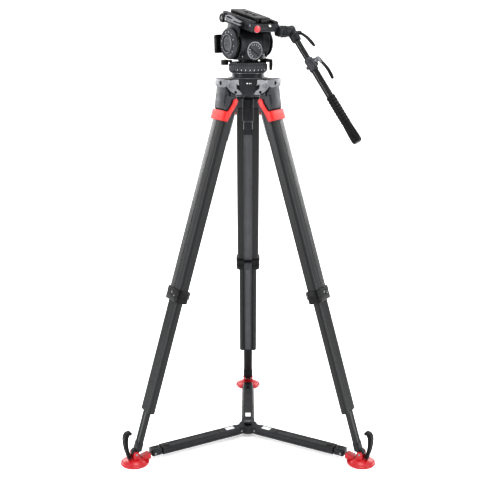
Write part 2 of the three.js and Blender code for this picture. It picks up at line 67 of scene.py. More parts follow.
def anklePlace(number):  # x outward, z up, from the ankle pin
    swivel = joints[f"foot_{number}_swivel"]
    return placeFrom(swivel["pos_m"], joints[f"arm_{number}_slide"]["axis"], (0, 0, 1))


def armPlace(number):  # x out along the spreader arm, on the floor under the head
    head = joints["head_level"]["pos_m"]
    return placeFrom((head[0], head[1], 0), joints[f"arm_{number}_slide"]["axis"], (0, 0, 1))


def crownPlace(number):  # x towards one leg, from the middle of the bowl's rim
    return placeFrom(joints["head_level"]["pos_m"], joints[f"arm_{number}_slide"]["axis"], (0, 0, 1))


tiltAxis = joints["tilt_turn"]["axis"]
forward = joints["plate_slide"]["axis"]
headPlace = placeFrom(joints["head_level"]["pos_m"], tiltAxis, (0, 0, 1))
tiltPlace = placeFrom(joints["tilt_turn"]["pos_m"], tiltAxis, crossed(tiltAxis, forward))
barPlace = placeFrom(
    joints["bar_angle"]["pos_m"],
    joints["telescope_lever_swing"]["axis"],
    joints["bar_telescope"]["axis"],
)


# shapes
def arc(centreX, centreY, radius, start, end, steps=12):
    points = []
    for step in range(steps + 1):
        angle = math.radians(start + (end - start) * step / steps)
        points.append((centreX + radius * math.cos(angle), centreY + radius * math.sin(angle)))
    return points


def rounded(corners, radius, steps=4):  # an outline with its corners rounded off
    points = []
    count = len(corners)
    for index, corner in enumerate(corners):
        here = Vector(corner)
        before = Vector(corners[index - 1]) - here
        after = Vector(corners[(index + 1) % count]) - here
        reach = min(radius, before.length * 0.45, after.length * 0.45)
        start = here + before.normalized() * reach
        end = here + after.normalized() * reach
        for step in range(steps + 1):
            share = step / steps
            points.append(tuple(start * (1 - share) ** 2 + here * 2 * share * (1 - share) + end * share**2))
    return points


def rectangle(lowX, highX, lowY, highY):
    return [(lowX, lowY), (highX, lowY), (highX, highY), (lowX, highY)]


def settle(piece):  # makes the modifiers part of the mesh
    graph = bpy.context.evaluated_depsgraph_get()
    mesh = bpy.data.meshes.new_from_object(piece.evaluated_get(graph))
    piece.modifiers.clear()
    old = piece.data
    piece.data = mesh
    bpy.data.meshes.remove(old)
    return piece


def solidFrom(shape, bevel=0.0, bevelSteps=2, bevelAngle=28):
    bmesh.ops.remove_doubles(shape, verts=shape.verts, dist=1e-5)
    bmesh.ops.recalc_face_normals(shape, faces=shape.faces)
    mesh = bpy.data.meshes.new("shape")
    shape.to_mesh(mesh)
    shape.free()
    piece = bpy.data.objects.new("shape", mesh)
    bpy.context.scene.collection.objects.link(piece)
    if bevel > 0:
        edge = piece.modifiers.new("edge", "BEVEL")
        edge.width = bevel
        edge.segments = bevelSteps
        edge.limit_method = "ANGLE"
        edge.angle_limit = math.radians(bevelAngle)
        edge.use_clamp_overlap = True
        settle(piece)
    return piece


def loft(rings, closed=True):  # skins rings of the same number of points, with flat ends
    shape = bmesh.new()
    rows = [[shape.verts.new(point) for point in ring] for ring in rings]
    count = len(rows[0])
    for lower, upper in zip(rows, rows[1:]):
        for index in range(count):
            after = (index + 1) % count
            shape.faces.new((lower[index], lower[after], upper[after], upper[index]))
    if closed:
        shape.faces.new(list(reversed(rows[0])))
        shape.faces.new(rows[-1])
    else:
        for index in range(count):
            after = (index + 1) % count
            shape.faces.new((rows[-1][index], rows[-1][after], rows[0][after], rows[0][index]))
    return shape


def onAxis(axis, across, up, along):
    if axis == "x":
        return (along, across, up)
    if axis == "y":
        return (across, along, up)
    return (across, up, along)


def slab(outline, low, high, axis="y", bevel=0.8, bevelSteps=2):  # an outline pushed along an axis
    rings = [[onAxis(axis, a, b, level) for a, b in outline] for level in (low, high)]
    return solidFrom(loft(rings), bevel, bevelSteps)


def box(lowX, highX, lowY, highY, lowZ, highZ, bevel=1.0):
    return slab(rectangle(lowX, highX, lowY, highY), lowZ, highZ, "z", bevel)


def turned(profile, axis="z", centre=(0, 0), segments=64, bevel=0.0, flutes=0, fluteDepth=0.0):
    # the profile lists (radius, place along the axis); flutes are grooves round its widest part
    widest = max(radius for radius, level in profile)
    rings = []
    for radius, level in profile:
        ring = []
        for step in range(segments):
            angle = math.tau * step / segments
            reach = max(radius, 0.01)
            if flutes and reach > widest * 0.93:
                reach -= fluteDepth * (0.5 + 0.5 * math.cos(angle * flutes)) ** 3
            across = centre[0] + reach * math.cos(angle)
            up = centre[1] + reach * math.sin(angle)
            ring.append(onAxis(axis, across, up, level))
        rings.append(ring)
    return solidFrom(loft(rings), bevel)


def ringShape(profile, axis="z", centre=(0, 0), segments=64, flutes=0, fluteDepth=0.0):
    # a closed profile turned about an axis, so it keeps an open middle
    widest = max(radius for radius, level in profile)
    rings = []
    for step in range(segments):
        angle = math.tau * step / segments
        ring = []
        for radius, level in profile:
            reach = radius
            if flutes and reach > widest * 0.93:
                reach -= fluteDepth * (0.5 + 0.5 * math.cos(angle * flutes)) ** 3
            across = centre[0] + reach * math.cos(angle)
            up = centre[1] + reach * math.sin(angle)
            ring.append(onAxis(axis, across, up, level))
        rings.append(ring)
    return solidFrom(loft(rings, closed=False))


def smoothPath(points, steps=6):  # a curve through the points
    path = [Vector(point) for point in points]
    padded = [path[0] * 2 - path[1], *path, path[-1] * 2 - path[-2]]
    smooth = []
    for index in range(1, len(padded) - 2):
        a, b, c, d = padded[index - 1 : index + 3]
        for step in range(steps):
            t = step / steps
            bend = (2 * a - 5 * b + 4 * c - d) * t**2 + (3 * b - a - 3 * c + d) * t**3
            smooth.append(0.5 * (2 * b + (c - a) * t + bend))
    smooth.append(path[-1])
    return smooth


def sweep(points, section, sizes=None, side=(0, 1, 0), steps=6):
    # carries a section of (across, side) points along a curve; sizes scale it from end to end
    path = smoothPath(points, steps)
    sizes = sizes or [1, 1]
    rings = []
    for index, point in enumerate(path):
        tangent = (path[min(index + 1, len(path) - 1)] - path[max(index - 1, 0)]).normalized()
        sideways = Vector(side)
        across = sideways.cross(tangent).normalized()
        place = index / (len(path) - 1) * (len(sizes) - 1)
        slot = min(int(place), len(sizes) - 2)
        size = sizes[slot] + (sizes[slot + 1] - sizes[slot]) * (place - slot)
        rings.append([point + across * a * size + sideways * b * size for a, b in section])
    return solidFrom(loft(rings))


def oval(acrossRadius, sideRadius, steps=20):
    return [
        (acrossRadius * math.cos(math.tau * step / steps), sideRadius * math.sin(math.tau * step / steps))
        for step in range(steps)
    ]


def combined(base, others, operation):
    for other in others:
        step = base.modifiers.new("combine", "BOOLEAN")
        step.operation = operation
        step.solver = "EXACT"
        step.object = other
    settle(base)
    for other in others:
        bpy.data.objects.remove(other)
    return base


def fused(base, *others):
    return combined(base, others, "UNION")


def cut(base, *cutters):
    return combined(base, cutters, "DIFFERENCE")


def together(*pieces):  # several loose solids, such as screws, as one piece
    shape = bmesh.new()
    for piece in pieces:
        shape.from_mesh(piece.data)
        bpy.data.objects.remove(piece)
    mesh = bpy.data.meshes.new("shape")
    shape.to_mesh(mesh)
    shape.free()
    joined = bpy.data.objects.new("shape", mesh)
    bpy.context.scene.collection.objects.link(joined)
    return joined


def turnedAbout(piece, axis, degrees, centre=(0, 0, 0)):
    pivot = Matrix.Translation(Vector(centre))
    piece.data.transform(pivot @ Matrix.Rotation(math.radians(degrees), 4, axis.upper()) @ pivot.inverted())
    return piece


def setPiece(piece, name, place, body, finish, stands=(), smoothAngle=32):
    piece.name = name
    piece.data.name = name
    piece.data.transform(Matrix.Scale(0.001, 4))
    if finish in (finishes["carbon"], finishes["gloss"], finishes["steel"]):
        piece.matrix_world = place  # these finishes have a direction, so the piece keeps its own frame
    else:
        piece.data.transform(place.to_3x3().to_4x4())
        piece.matrix_world = Matrix.Translation(place.to_translation())
    piece.data.materials.clear()
    piece.data.materials.append(finish)
    for face in piece.data.polygons:
        face.use_smooth = True
        face.material_index = 0
    piece.data.set_sharp_from_angle(angle=math.radians(smoothAngle))
    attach(piece, body)
    if stands:
        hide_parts(*stands)
    return piece


# finishes
def newFinish(name, color, roughness, metallic=0.0):
    finish = bpy.data.materials.new(name)
    finish.use_nodes = True
    shader = finish.node_tree.nodes["Principled BSDF"]
    shader.inputs["Base Color"].default_value = (*color, 1)
    shader.inputs["Roughness"].default_value = roughness
    shader.inputs["Metallic"].default_value = metallic
    return finish, finish.node_tree, shader


def addNode(tree, kind, **settings):
    node = tree.nodes.new(kind)
    for key, value in settings.items():
        setattr(node, key, value)
    return node


def localPlace(tree, stretch=(1, 1, 1), turn=(0, 0, 0)):
    place = addNode(tree, "ShaderNodeTexCoord")
    mapping = addNode(tree, "ShaderNodeMapping")
    mapping.inputs["Scale"].default_value = stretch
    mapping.inputs["Rotation"].default_value = [math.radians(angle) for angle in turn]
    tree.links.new(place.outputs["Object"], mapping.inputs["Vector"])
    return mapping.outputs["Vector"]


def noise(tree, place, scale, detail=4, roughness=0.55):
    node = addNode(tree, "ShaderNodeTexNoise")
    node.inputs["Scale"].default_value = scale
    node.inputs["Detail"].default_value = detail
    node.inputs["Roughness"].default_value = roughness
    tree.links.new(place, node.inputs["Vector"])
    return node.outputs["Fac"]


def spread(tree, value, low, high, newLow, newHigh):
    node = addNode(tree, "ShaderNodeMapRange")
    for socket, number in zip(("From Min", "From Max", "To Min", "To Max"), (low, high, newLow, newHigh)):
        node.inputs[socket].default_value = number
    tree.links.new(value, node.inputs["Value"])
    return node.outputs["Result"]


def colored(tree, value, stops):
    ramp = addNode(tree, "ShaderNodeValToRGB")
    elements = ramp.color_ramp.elements
    while len(elements) < len(stops):
        elements.new(0.5)
    for element, (position, color) in zip(elements, stops):
        element.position = position
        element.color = (*color, 1)
    tree.links.new(value, ramp.inputs["Fac"])
    return ramp.outputs["Color"]


def bumped(tree, shader, height, strength, distance):
    bump = addNode(tree, "ShaderNodeBump")
    bump.inputs["Strength"].default_value = strength
    bump.inputs["Distance"].default_value = distance
    tree.links.new(height, bump.inputs["Height"])
    tree.links.new(bump.outputs["Normal"], shader.inputs["Normal"])


def tinted(color, amount):
    return tuple(min(1, channel * amount) for channel in color)


# a moulded or coated surface: fine grain, slow cloudiness, and rubbed, slightly shinier patches
def grainedFinish(name, color, roughness, metallic, grain, grainDepth, cloud, rub, coat=0.0):
    finish, tree, shader = newFinish(name, color, roughness, metallic)
    place = localPlace(tree)
    stops = [(0.3, tinted(color, 1 - cloud)), (0.5, color), (0.75, tinted(color, 1 + cloud * 1.6))]
    tree.links.new(colored(tree, noise(tree, place, 22, 5), stops), shader.inputs["Base Color"])
    wear = noise(tree, place, 75, 8, 0.7)
    rubbed = spread(tree, wear, 0.35, 0.7, roughness + rub, max(0.05, roughness - rub))
    tree.links.new(rubbed, shader.inputs["Roughness"])
    bumped(tree, shader, noise(tree, place, grain, 3), grainDepth, 0.0004)
    if max(color) < 0.06:
        shader.inputs["Specular IOR Level"].default_value = 0.26
    if coat:
        shader.inputs["Coat Weight"].default_value = coat
        shader.inputs["Coat Roughness"].default_value = 0.25
    return finish


# woven carbon under a satin lacquer: two crossed sets of tows in checks, with drawn lines along the tube
def carbonFinish(name, color, tow=260, roughness=0.34):
    finish, tree, shader = newFinish(name, color, roughness)
    turnedPlace = localPlace(tree, (1, 1, 1), (0, 0, 45))
    waves = []
    for direction in ("X", "Z"):
        wave = addNode(tree, "ShaderNodeTexWave", bands_direction=direction, wave_profile="SIN")
        wave.inputs["Scale"].default_value = tow
        wave.inputs["Distortion"].default_value = 0.4
        tree.links.new(turnedPlace, wave.inputs["Vector"])
        waves.append(wave.outputs["Fac"])
    weave = addNode(tree, "ShaderNodeMath", operation="MULTIPLY")
    tree.links.new(waves[0], weave.inputs[0])
    tree.links.new(waves[1], weave.inputs[1])
    lines = noise(tree, localPlace(tree, (260, 260, 1.5)), 1, 3)  # long lines from the drawing die
    mixed = addNode(tree, "ShaderNodeMath", operation="ADD")
    tree.links.new(weave.outputs[0], mixed.inputs[0])
    tree.links.new(lines, mixed.inputs[1])
    stops = [(0.3, tinted(color, 0.6)), (0.65, color), (0.95, tinted(color, 1.9))]
    tree.links.new(colored(tree, mixed.outputs[0], stops), shader.inputs["Base Color"])
    smoother, rougher = roughness - 0.06, roughness + 0.12
    tree.links.new(spread(tree, mixed.outputs[0], 0.3, 1.2, smoother, rougher), shader.inputs["Roughness"])
    bumped(tree, shader, mixed.outputs[0], 0.18, 0.0003)
    shader.inputs["Specular IOR Level"].default_value = 0.36
    return finish


# turned or ground metal, with fine lines round the local Z axis
def groundFinish(name, color, roughness):
    finish, tree, shader = newFinish(name, color, roughness, 1.0)
    lines = noise(tree, localPlace(tree, (60, 60, 1400)), 1, 3)
    lined = spread(tree, lines, 0.3, 0.7, roughness - 0.06, roughness + 0.1)
    tree.links.new(lined, shader.inputs["Roughness"])
    tint = colored(tree, lines, [(0.3, tinted(color, 0.8)), (0.7, tinted(color, 1.1))])
    tree.links.new(tint, shader.inputs["Base Color"])
    bumped(tree, shader, lines, 0.12, 0.0002)
    return finish


finishes = {
    "cast": grainedFinish("darkCasting", (0.02, 0.021, 0.0235), 0.4, 0.2, 1100, 0.32, 0.2, 0.1),
    "coat": grainedFinish("greyCoating", (0.044, 0.045, 0.05), 0.42, 0.2, 1100, 0.3, 0.18, 0.1),
    "light": grainedFinish("blastedAluminium", (0.15, 0.153, 0.163), 0.4, 0.5, 1500, 0.2, 0.12, 0.1),
    "edge": grainedFinish("rubbedEdge", (0.11, 0.112, 0.12), 0.36, 0.5, 1300, 0.15, 0.15, 0.1),
    "carbon": carbonFinish("wovenCarbon", (0.01, 0.0104, 0.0112)),
    "rail": grainedFinish("greyRail", (0.055, 0.056, 0.06), 0.4, 0.1, 1300, 0.2, 0.15, 0.08),
    "gloss": carbonFinish("polishedCarbon", (0.008, 0.0082, 0.009), 300, 0.2),
    "matteTube": grainedFinish("matteArmTube", (0.024, 0.0245, 0.026), 0.48, 0.1, 1200, 0.25, 0.2, 0.1),
    "black": grainedFinish("blackPlastic", (0.004, 0.0042, 0.0046), 0.32, 0.0, 950, 0.3, 0.25, 0.12),
    "rubber": grainedFinish("blackRubber", (0.003, 0.003, 0.0033), 0.5, 0.0, 700, 0.35, 0.3, 0.12),
    "redLever": grainedFinish("redLever", (0.4, 0.008, 0.006), 0.42, 0.0, 1400, 0.12, 0.06, 0.06, 0.08),
    "redFoot": grainedFinish("redRubber", (0.32, 0.002, 0.008), 0.36, 0.0, 800, 0.16, 0.1, 0.08, 0.2),
    "redButton": grainedFinish("redButton", (0.6, 0.03, 0.04), 0.3, 0.0, 1400, 0.1, 0.05, 0.05, 0.3),
    "steel": groundFinish("turnedSteel", (0.22, 0.225, 0.235), 0.34),
    # a flat black for the sheets that paint the shade at the bottom of pockets
    "holeShade": grainedFinish("paintedHoleShade", (0.004, 0.004, 0.0042), 0.7, 0.0, 900, 0.2, 0.2, 0.05),
    "mark": grainedFinish("whitePrint", (0.62, 0.62, 0.62), 0.5, 0.0, 1600, 0.1, 0.05, 0.05),
    "tag": grainedFinish("paleTag", (0.56, 0.57, 0.58), 0.4, 0.1, 1500, 0.1, 0.06, 0.08),
    "vial": grainedFinish("paleVial", (0.62, 0.68, 0.6), 0.16, 0.0, 500, 0.03, 0.08, 0.05, 0.5),
}
print("finishes made")


# studio: a pale floor, a plain sky and large soft lamps
studio = {
    "floorSize": 60,
    "sky": 1.0,
    "floorGlow": 0.22,
    "lamps": [
        # name, place, aim, width, height, watts
        ("leftStrip", (-2.6, -1.5, 1.5), (0, 0, 0.8), 0.4, 2.6, 40),
        ("rightStrip", (2.7, -1.3, 1.6), (0, 0, 0.8), 0.45, 2.6, 36),
        ("topSheet", (0.2, -0.4, 3.6), (0, 0, 0.8), 1.6, 1.6, 40),
        ("backLeft", (-2.2, 2.2, 1.8), (0, 0, 0.9), 0.6, 2.2, 26),
        ("backRight", (2.2, 2.2, 1.8), (0, 0, 0.9), 0.6, 2.2, 26),
    ],
}


def makeStudio():
    half = studio["floorSize"] / 2
    shape = bmesh.new()
    corners = [shape.verts.new((x * half, y * half, 0)) for x, y in ((-1, -1), (1, -1), (1, 1), (-1, 1))]
    shape.faces.new(corners)
    mesh = bpy.data.meshes.new("studioFloor")
    shape.to_mesh(mesh)
    shape.free()
    floor = bpy.data.objects.new("studioFloor", mesh)
    bpy.context.scene.collection.objects.link(floor)
    floorFinish, tree, shader = newFinish("studioWhite", (0.93, 0.93, 0.93), 0.9)
    shader.inputs["Emission Color"].default_value = (1, 1, 1, 1)
    shader.inputs["Emission Strength"].default_value = studio["floorGlow"]
    tone = noise(tree, localPlace(tree), 3, 2)
    white = colored(tree, tone, [(0.3, (0.925,) * 3), (0.7, (0.94,) * 3)])
    tree.links.new(white, shader.inputs["Base Color"])
    floor.data.materials.append(floorFinish)
    sky = bpy.data.worlds.new("studioSky")
    sky.use_nodes = True
    background = sky.node_tree.nodes["Background"]
    background.inputs["Color"].default_value = (1, 1, 1, 1)
    background.inputs["Strength"].default_value = studio["sky"]
    bpy.context.scene.world = sky
    for name, place, aim, width, height, watts in studio["lamps"]:
        light = bpy.data.lights.new(name, "AREA")
        light.shape = "RECTANGLE"
        light.size = width
        light.size_y = height
        light.energy = watts
        lamp = bpy.data.objects.new(name, light)
        bpy.context.scene.collection.objects.link(lamp)
        lamp.location = place
        lamp.rotation_euler = (Vector(aim) - Vector(place)).to_track_quat("-Z", "Y").to_euler()
    bpy.context.scene.view_settings.view_transform = "Standard"
    bpy.context.scene.view_settings.look = "High Contrast"


camera = {
    "back": 2.81,  # metres from the middle of the tripod
    "height": 1.383,
    "pitch": 15,  # degrees down
    "lens": 66.7,
    "shift": 0.004,
}


def makeCamera():
    lens = bpy.data.cameras.new("viewCamera")
    lens.lens = camera["lens"]
    lens.sensor_width = 36
    lens.shift_x = camera["shift"]
    lens.clip_end = 100
    stand = bpy.data.objects.new("viewCamera", lens)
    bpy.context.scene.collection.objects.link(stand)
    middle = joints["head_level"]["pos_m"]
    stand.location = (middle[0], middle[1] - camera["back"], camera["height"])
    stand.rotation_euler = (math.radians(90 - camera["pitch"]), 0, 0)
    bpy.context.scene.camera = stand


makeStudio()
makeCamera()
print("studio and camera ready")


# leg tubes, drawn in the leg's frame: x outward, y sideways, z up from the hinge pin
tube = {
    "centre": -21,
    "upper": {"top": -76, "bottom": -655, "depth": 17, "width": 35.5, "wall": 3},
    "middle": {"top": -530, "bottom": -1022, "depth": 12.5, "width": 30, "wall": 2.5},
    "lower": {"top": -700, "bottom": -1146, "depth": 8, "width": 15.5, "wall": 2.2, "shift": 1.6},
    "ribHalf": 15,
    "ribHeight": 3,
}


def grooved(start, end, spacing, halfGroove, depth, outX):
    # points down a broad face from start to end with shallow grooves, outX being the face's side
    direction = 1 if end > start else -1
    count = int(abs(end - start) / spacing)
    offset = (abs(end - start) - (count - 1) * spacing) / 2
    points = []
    for index in range(count):
        middle = start + direction * (offset + index * spacing)
        points.append((outX, middle - direction * halfGroove))
        points.append((outX - math.copysign(depth, outX), middle - direction * halfGroove * 0.4))
        points.append((outX - math.copysign(depth, outX), middle + direction * halfGroove * 0.4))
        points.append((outX, middle + direction * halfGroove))
    return points


def shifted(outline, x):
    return [(px + x, py) for px, py in outline]


def upperOutline(size):
    depth, width = size["depth"], size["width"]
    rib = tube["ribHalf"]
    backDepth = depth + tube["ribHeight"]
    outer = [(depth - 9, -width), *arc(depth - 11, -(width - 11), 11, -80, -12, 6)]
    outer += grooved(-(width - 10), width - 10, 36, 1.6, 1.0, depth)
    outer += [*arc(depth - 11, width - 11, 11, 12, 80, 6), (depth - 9, width)]
    inner = [(-(depth - 8), width), *arc(-(depth - 8), width - 8, 8, 100, 176, 5)]
    inner += [(-depth, rib + 1.6), (-backDepth + 0.6, rib), (-backDepth, rib - 1)]
    inner += grooved(rib - 3, -(rib - 3), 6, 1.2, 0.9, -backDepth)
    inner += [(-backDepth, -(rib - 1)), (-backDepth + 0.6, -rib), (-depth, -(rib + 1.6))]
    inner += [*arc(-(depth - 8), -(width - 8), 8, 184, 260, 5), (-(depth - 8), -width)]
    return outer + inner


def ribbedOutline(size):
    depth, width = size["depth"], size["width"]
    outer = arc(depth - 9, -(width - 9), 9, -86, -6, 5)
    outer += grooved(-(width - 11), width - 11, 5.4, 1.5, 1.0, depth)
    outer += arc(depth - 9, width - 9, 9, 6, 86, 5)
    inner = arc(-(depth - 9), width - 9, 9, 94, 174, 5)
    inner += grooved(width - 11, -(width - 11), 5.4, 1.5, 1.0, -depth)
    inner += arc(-(depth - 9), -(width - 9), 9, 186, 266, 5)
    return outer + inner


def plainOutline(depth, width, corner):
    return rounded([(depth, -width), (depth, width), (-depth, width), (-depth, -width)], corner, 6)


def makeRail(name, place, body, face, half, low, high):  # a grey ribbed strip down the inboard face
    outline = [(face + 0.5, -half), (face - 0.5, -half)]
    outline += grooved(-half, half, 4.4, 1.1, 0.5, face - 0.5)
    outline += [(face - 0.5, half), (face + 0.5, half)]
    setPiece(slab(outline, low, high, "z", 0), name, place, body, finishes["rail"])


def makeTubes(number):
    place = legPlace(number)
    centre = tube["centre"]
    upper, middle, lower = tube["upper"], tube["middle"], tube["lower"]
    room = plainOutline(upper["depth"] - upper["wall"], upper["width"] - upper["wall"], 9)
    piece = slab(shifted(upperOutline(upper), centre), upper["bottom"], upper["top"], "z", 0)
    cut(piece, slab(shifted(room, centre), upper["bottom"] - 1, upper["top"] + 1, "z", 0))
    leg = f"leg_{number}"
    setPiece(piece, f"upperTube{number}", place, leg, finishes["carbon"], [f"upper_tube_{number}"])
    makeRail(f"upperRail{number}", place, leg, centre - upper["depth"] - tube["ribHeight"], 13.4, -652, -161)

    room = plainOutline(middle["depth"] - middle["wall"], middle["width"] - middle["wall"], 7)
    piece = slab(shifted(ribbedOutline(middle), centre), middle["bottom"], middle["top"], "z", 0)
    cut(piece, slab(shifted(room, centre), middle["bottom"] - 1, middle["top"] + 1, "z", 0))
    setPiece(
        piece, f"middleTube{number}", place, f"middle_{number}", finishes["carbon"],
        [f"middle_tube_{number}"],
    )

    makeRail(f"middleRail{number}", place, f"middle_{number}", centre - middle["depth"], 11.6, -1018, -668)

    # a moulded plug closes the middle tube round the lower one
    lowerCentre = centre + lower["shift"]
    plugOutline = shifted(plainOutline(9.8, 27.3, 6), centre)
    plug = slab(plugOutline, middle["bottom"] - 2, middle["bottom"] + 10, "z", 0.8)
    lowerRoom = shifted(plainOutline(lower["depth"] + 0.35, lower["width"] + 0.35, 6), lowerCentre)
    cut(plug, slab(lowerRoom, middle["bottom"] - 5, middle["bottom"] + 14, "z", 0))
    setPiece(plug, f"middleTubePlug{number}", place, f"middle_{number}", finishes["black"])

    outline = shifted(plainOutline(lower["depth"], lower["width"], 6), lowerCentre)
    groove = slab(
        rounded([(6.8, -5), (9, -5), (9, 5), (6.8, 5)], 0.5), lower["bottom"] + 14, lower["top"] + 1, "z", 0
    )
    groove.data.transform(Matrix.Translation((lowerCentre, 0, 0)))
    piece = slab(outline, lower["bottom"], lower["top"], "z", 0.4)
    cut(piece, groove)
    body = f"lower_{number}"
    setPiece(piece, f"lowerTube{number}", place, body, finishes["carbon"], [f"lower_tube_{number}"])
    shoe = slab(shifted(plainOutline(9, 16.5, 6), lowerCentre), -1150, -1124, "z", 1.2)
    knuckle = turned([(9, -11), (9, 11)], "y", (-12.7, -1161), 48, 0.8)
    neck = slab(rounded([(-24.5, -1148), (-6, -1148), (-4, -1161), (-21.4, -1161)], 2), -11, 11, "y", 1)
    fused(shoe, knuckle, neck)
    setPiece(shoe, f"lowerTubeShoe{number}", place, body, finishes["cast"])


collar = {"top": -628, "bottom": -667, "depth": 21.5, "width": 40}


def makeCollar(number):
    place = legPlace(number)
    centre = tube["centre"]
    depth, width = collar["depth"], collar["width"]
    low, high = collar["bottom"], collar["top"]
    outline = shifted(plainOutline(depth, width, 13), centre)
    body = slab(outline, low, high, "z", 1.6)
    waist = slab(shifted(plainOutline(depth + 2, width + 2, 13), centre), low + 17, low + 19.5, "z", 0)
    cut(waist, slab(shifted(plainOutline(depth - 1, width - 1, 13), centre), low + 10, high, "z", 0))
    upperRoom = shifted(upperOutline({"depth": 17.3, "width": 35.8}), centre)
    middleRoom = shifted(plainOutline(13.5, 31, 9), centre)
    cut(body, slab(upperRoom, -655.3, high + 1, "z", 0), slab(middleRoom, low - 1, -650, "z", 0), waist)
    setPiece(
        body, f"tubeCollar{number}", place, f"leg_{number}", finishes["black"],
        [f"tube_collar_{number}"],
    )
    clip = slab(rounded([(-57, -658), (-42.8, -658), (-42.8, -632), (-57, -632)], 5, 6), -13, 13, "y", 1.4)
    mouth = slab(rounded([(-52.5, -652), (-44, -652), (-44, -639), (-52.5, -639)], 3, 6), -15, 15, "y", 0)
    cut(clip, mouth)
    setPiece(clip, f"collarClip{number}", place, f"leg_{number}", finishes["coat"])
    screw = turned([(3.6, -1.2), (3.6, 0.5), (2.9, 1.1)], "x", (0, 0), 28)
    screw.data.transform(Matrix.Translation((centre + depth + 0.1, 0, -641)))
    setPiece(screw, f"collarScrew{number}", place, f"leg_{number}", finishes["steel"])
    dot = turned([(1.5, -0.3), (1.5, 0.35)], "x", (18, -648), 24)
    dot.data.transform(Matrix.Translation((centre + depth, 0, 0)))
    setPiece(dot, f"collarDot{number}", place, f"leg_{number}", finishes["mark"])


yoke = {
    "neckHalf": 28,
    "shoulderHalf": 34.5,
    "foot": -75.6,
    "barrel": 10.5,
    "pinRoom": 6.3,
    "panelDepth": 0.8,
}


def makeYoke(number):
    place = legPlace(number)
    body = f"leg_{number}"
    neck, wide, floor, barrel = yoke["neckHalf"], yoke["shoulderHalf"], yoke["foot"], yoke["barrel"]
    side = [
        (-9, 4), (9, 4), (11.5, -12), (4, -52), (-3, floor),
        (-38, floor), (-41, -44), (-20, -14), (-11, 0),
    ]
    block = slab(rounded(side, 5, 6), -neck, neck, "y", 1.6)
    barrelProfile = [(barrel - 0.9, -neck), (barrel, 1 - neck), (barrel, neck - 1), (barrel - 0.9, neck)]
    shoulder = [(4.4, -31), (-3, floor), (-39, floor), (-42, -40), (-24, -31)]
    wings = slab(rounded(shoulder, 5, 6), -wide, wide, "y", 1.5, 3)
    plug = slab(shifted(plainOutline(12, 26, 6), tube["centre"]), -108, -70, "z", 0.8)
    fused(block, turned(barrelProfile, "y", (0, 0), 56), wings, plug)
    pinRoom = turned([(yoke["pinRoom"], -40), (yoke["pinRoom"], 40)], "y", (0, 0), 40)
    lightening = [
        slab(rounded([(-7, -18), (7, -18), (4, -34), (-14, -34)], 3), low, high, "y", 0)
        for low, high in ((-30, -24), (24, 30))
    ]
    panel = [(0, -36), (-6, -71), (-18, -71), (-20, -52), (-16, -36)]
    skin = wide - yoke["panelDepth"]
    panels = [slab(rounded(panel, 3), low, high, "y", 0) for low, high in ((-40, -skin), (skin, 40))]
    cut(block, pinRoom, *lightening, *panels)
    setPiece(block, f"legYoke{number}", place, body, finishes["coat"], [f"leg_yoke_{number}"])

    boss = [
        turned([(7.4, side * 34.2), (7.4, side * 35.4), (6.4, side * 35.9)], "y", brake["pivot"], 40)
        for side in (-1, 1)
    ]
    setPiece(together(*boss), f"brakePivotBoss{number}", place, body, finishes["steel"])

    # the release bar runs down the inboard face between two bright rails
    bar = slab(rounded(rectangle(-14.6, 14.6, -160, -60), 3), -48.6, -41.6, "x", 0.8)
    slots = [box(-60, -46.9, -7, 7, low, low + 3.4, 0) for low in range(-112, -74, 8)]
    slots += [box(-60, -47.2, -8, 8, -150, -147.5, 0)]
    cut(bar, *slots)
    setPiece(bar, f"releaseBar{number}", place, body, finishes["cast"])
    rails = []
    for sideways in (-1, 1):
        near, far = sorted((sideways * 12.2, sideways * 15))
        rails.append(slab(rounded(rectangle(near, far, -140, -60), 1.2), -50, -41.6, "x", 0.5))
    setPiece(together(*rails), f"releaseRails{number}", place, body, finishes["light"])


brake = {
    "pivot": (-27, -42),
    "near": 36.3,
    "far": 40.3,
    "outside": 1.8,
    "inside": -2.2,
    "bandTop": -77,
    "bandBottom": -107,
    "bend": 9,
}


def bentBand(face, half, bend, end):  # a U open towards the leg's inboard side
    corner = face - bend
    return [
        (end, -half), *arc(corner, -(half - bend), bend, -90, 0, 8),
        *arc(corner, half - bend, bend, 0, 90, 8), (end, half),
    ]


def makeBrakeLever(number):
    place = legPlace(number)
    near, far, bend = brake["near"], brake["far"], brake["bend"]
    low, high = brake["bandBottom"], brake["bandTop"]
    pivotX, pivotZ = brake["pivot"]
    band = slab(bentBand(brake["outside"], far, bend, -15), low, high, "z", 1.1, 3)
    room = bentBand(brake["inside"], near, bend - far + near, -18)
    cut(band, slab(room, low - 2, high + 2, "z", 0))
    outline = [
        *arc(pivotX, pivotZ, 7.8, 10, 200, 12),
        (pivotX - 6.6, pivotZ - 10), (-24, -78), (-17, low + 0.2), (-8, low + 0.2),
        (-8, high - 0.2), (-12, -72), (pivotX + 8.4, pivotZ - 10),
    ]
    sides = ((near, far), (-far, -near))
    arms = [slab(rounded(outline, 2.5, 3), first, last, "y", 1.2, 3) for first, last in sides]
    fused(band, *arms)
    setPiece(
        band, f"brakeLever{number}", place, f"brake_{number}", finishes["redLever"],
        [f"brake_lever_{number}"], 40,
    )


foot = {"floor": -34, "radius": 44}


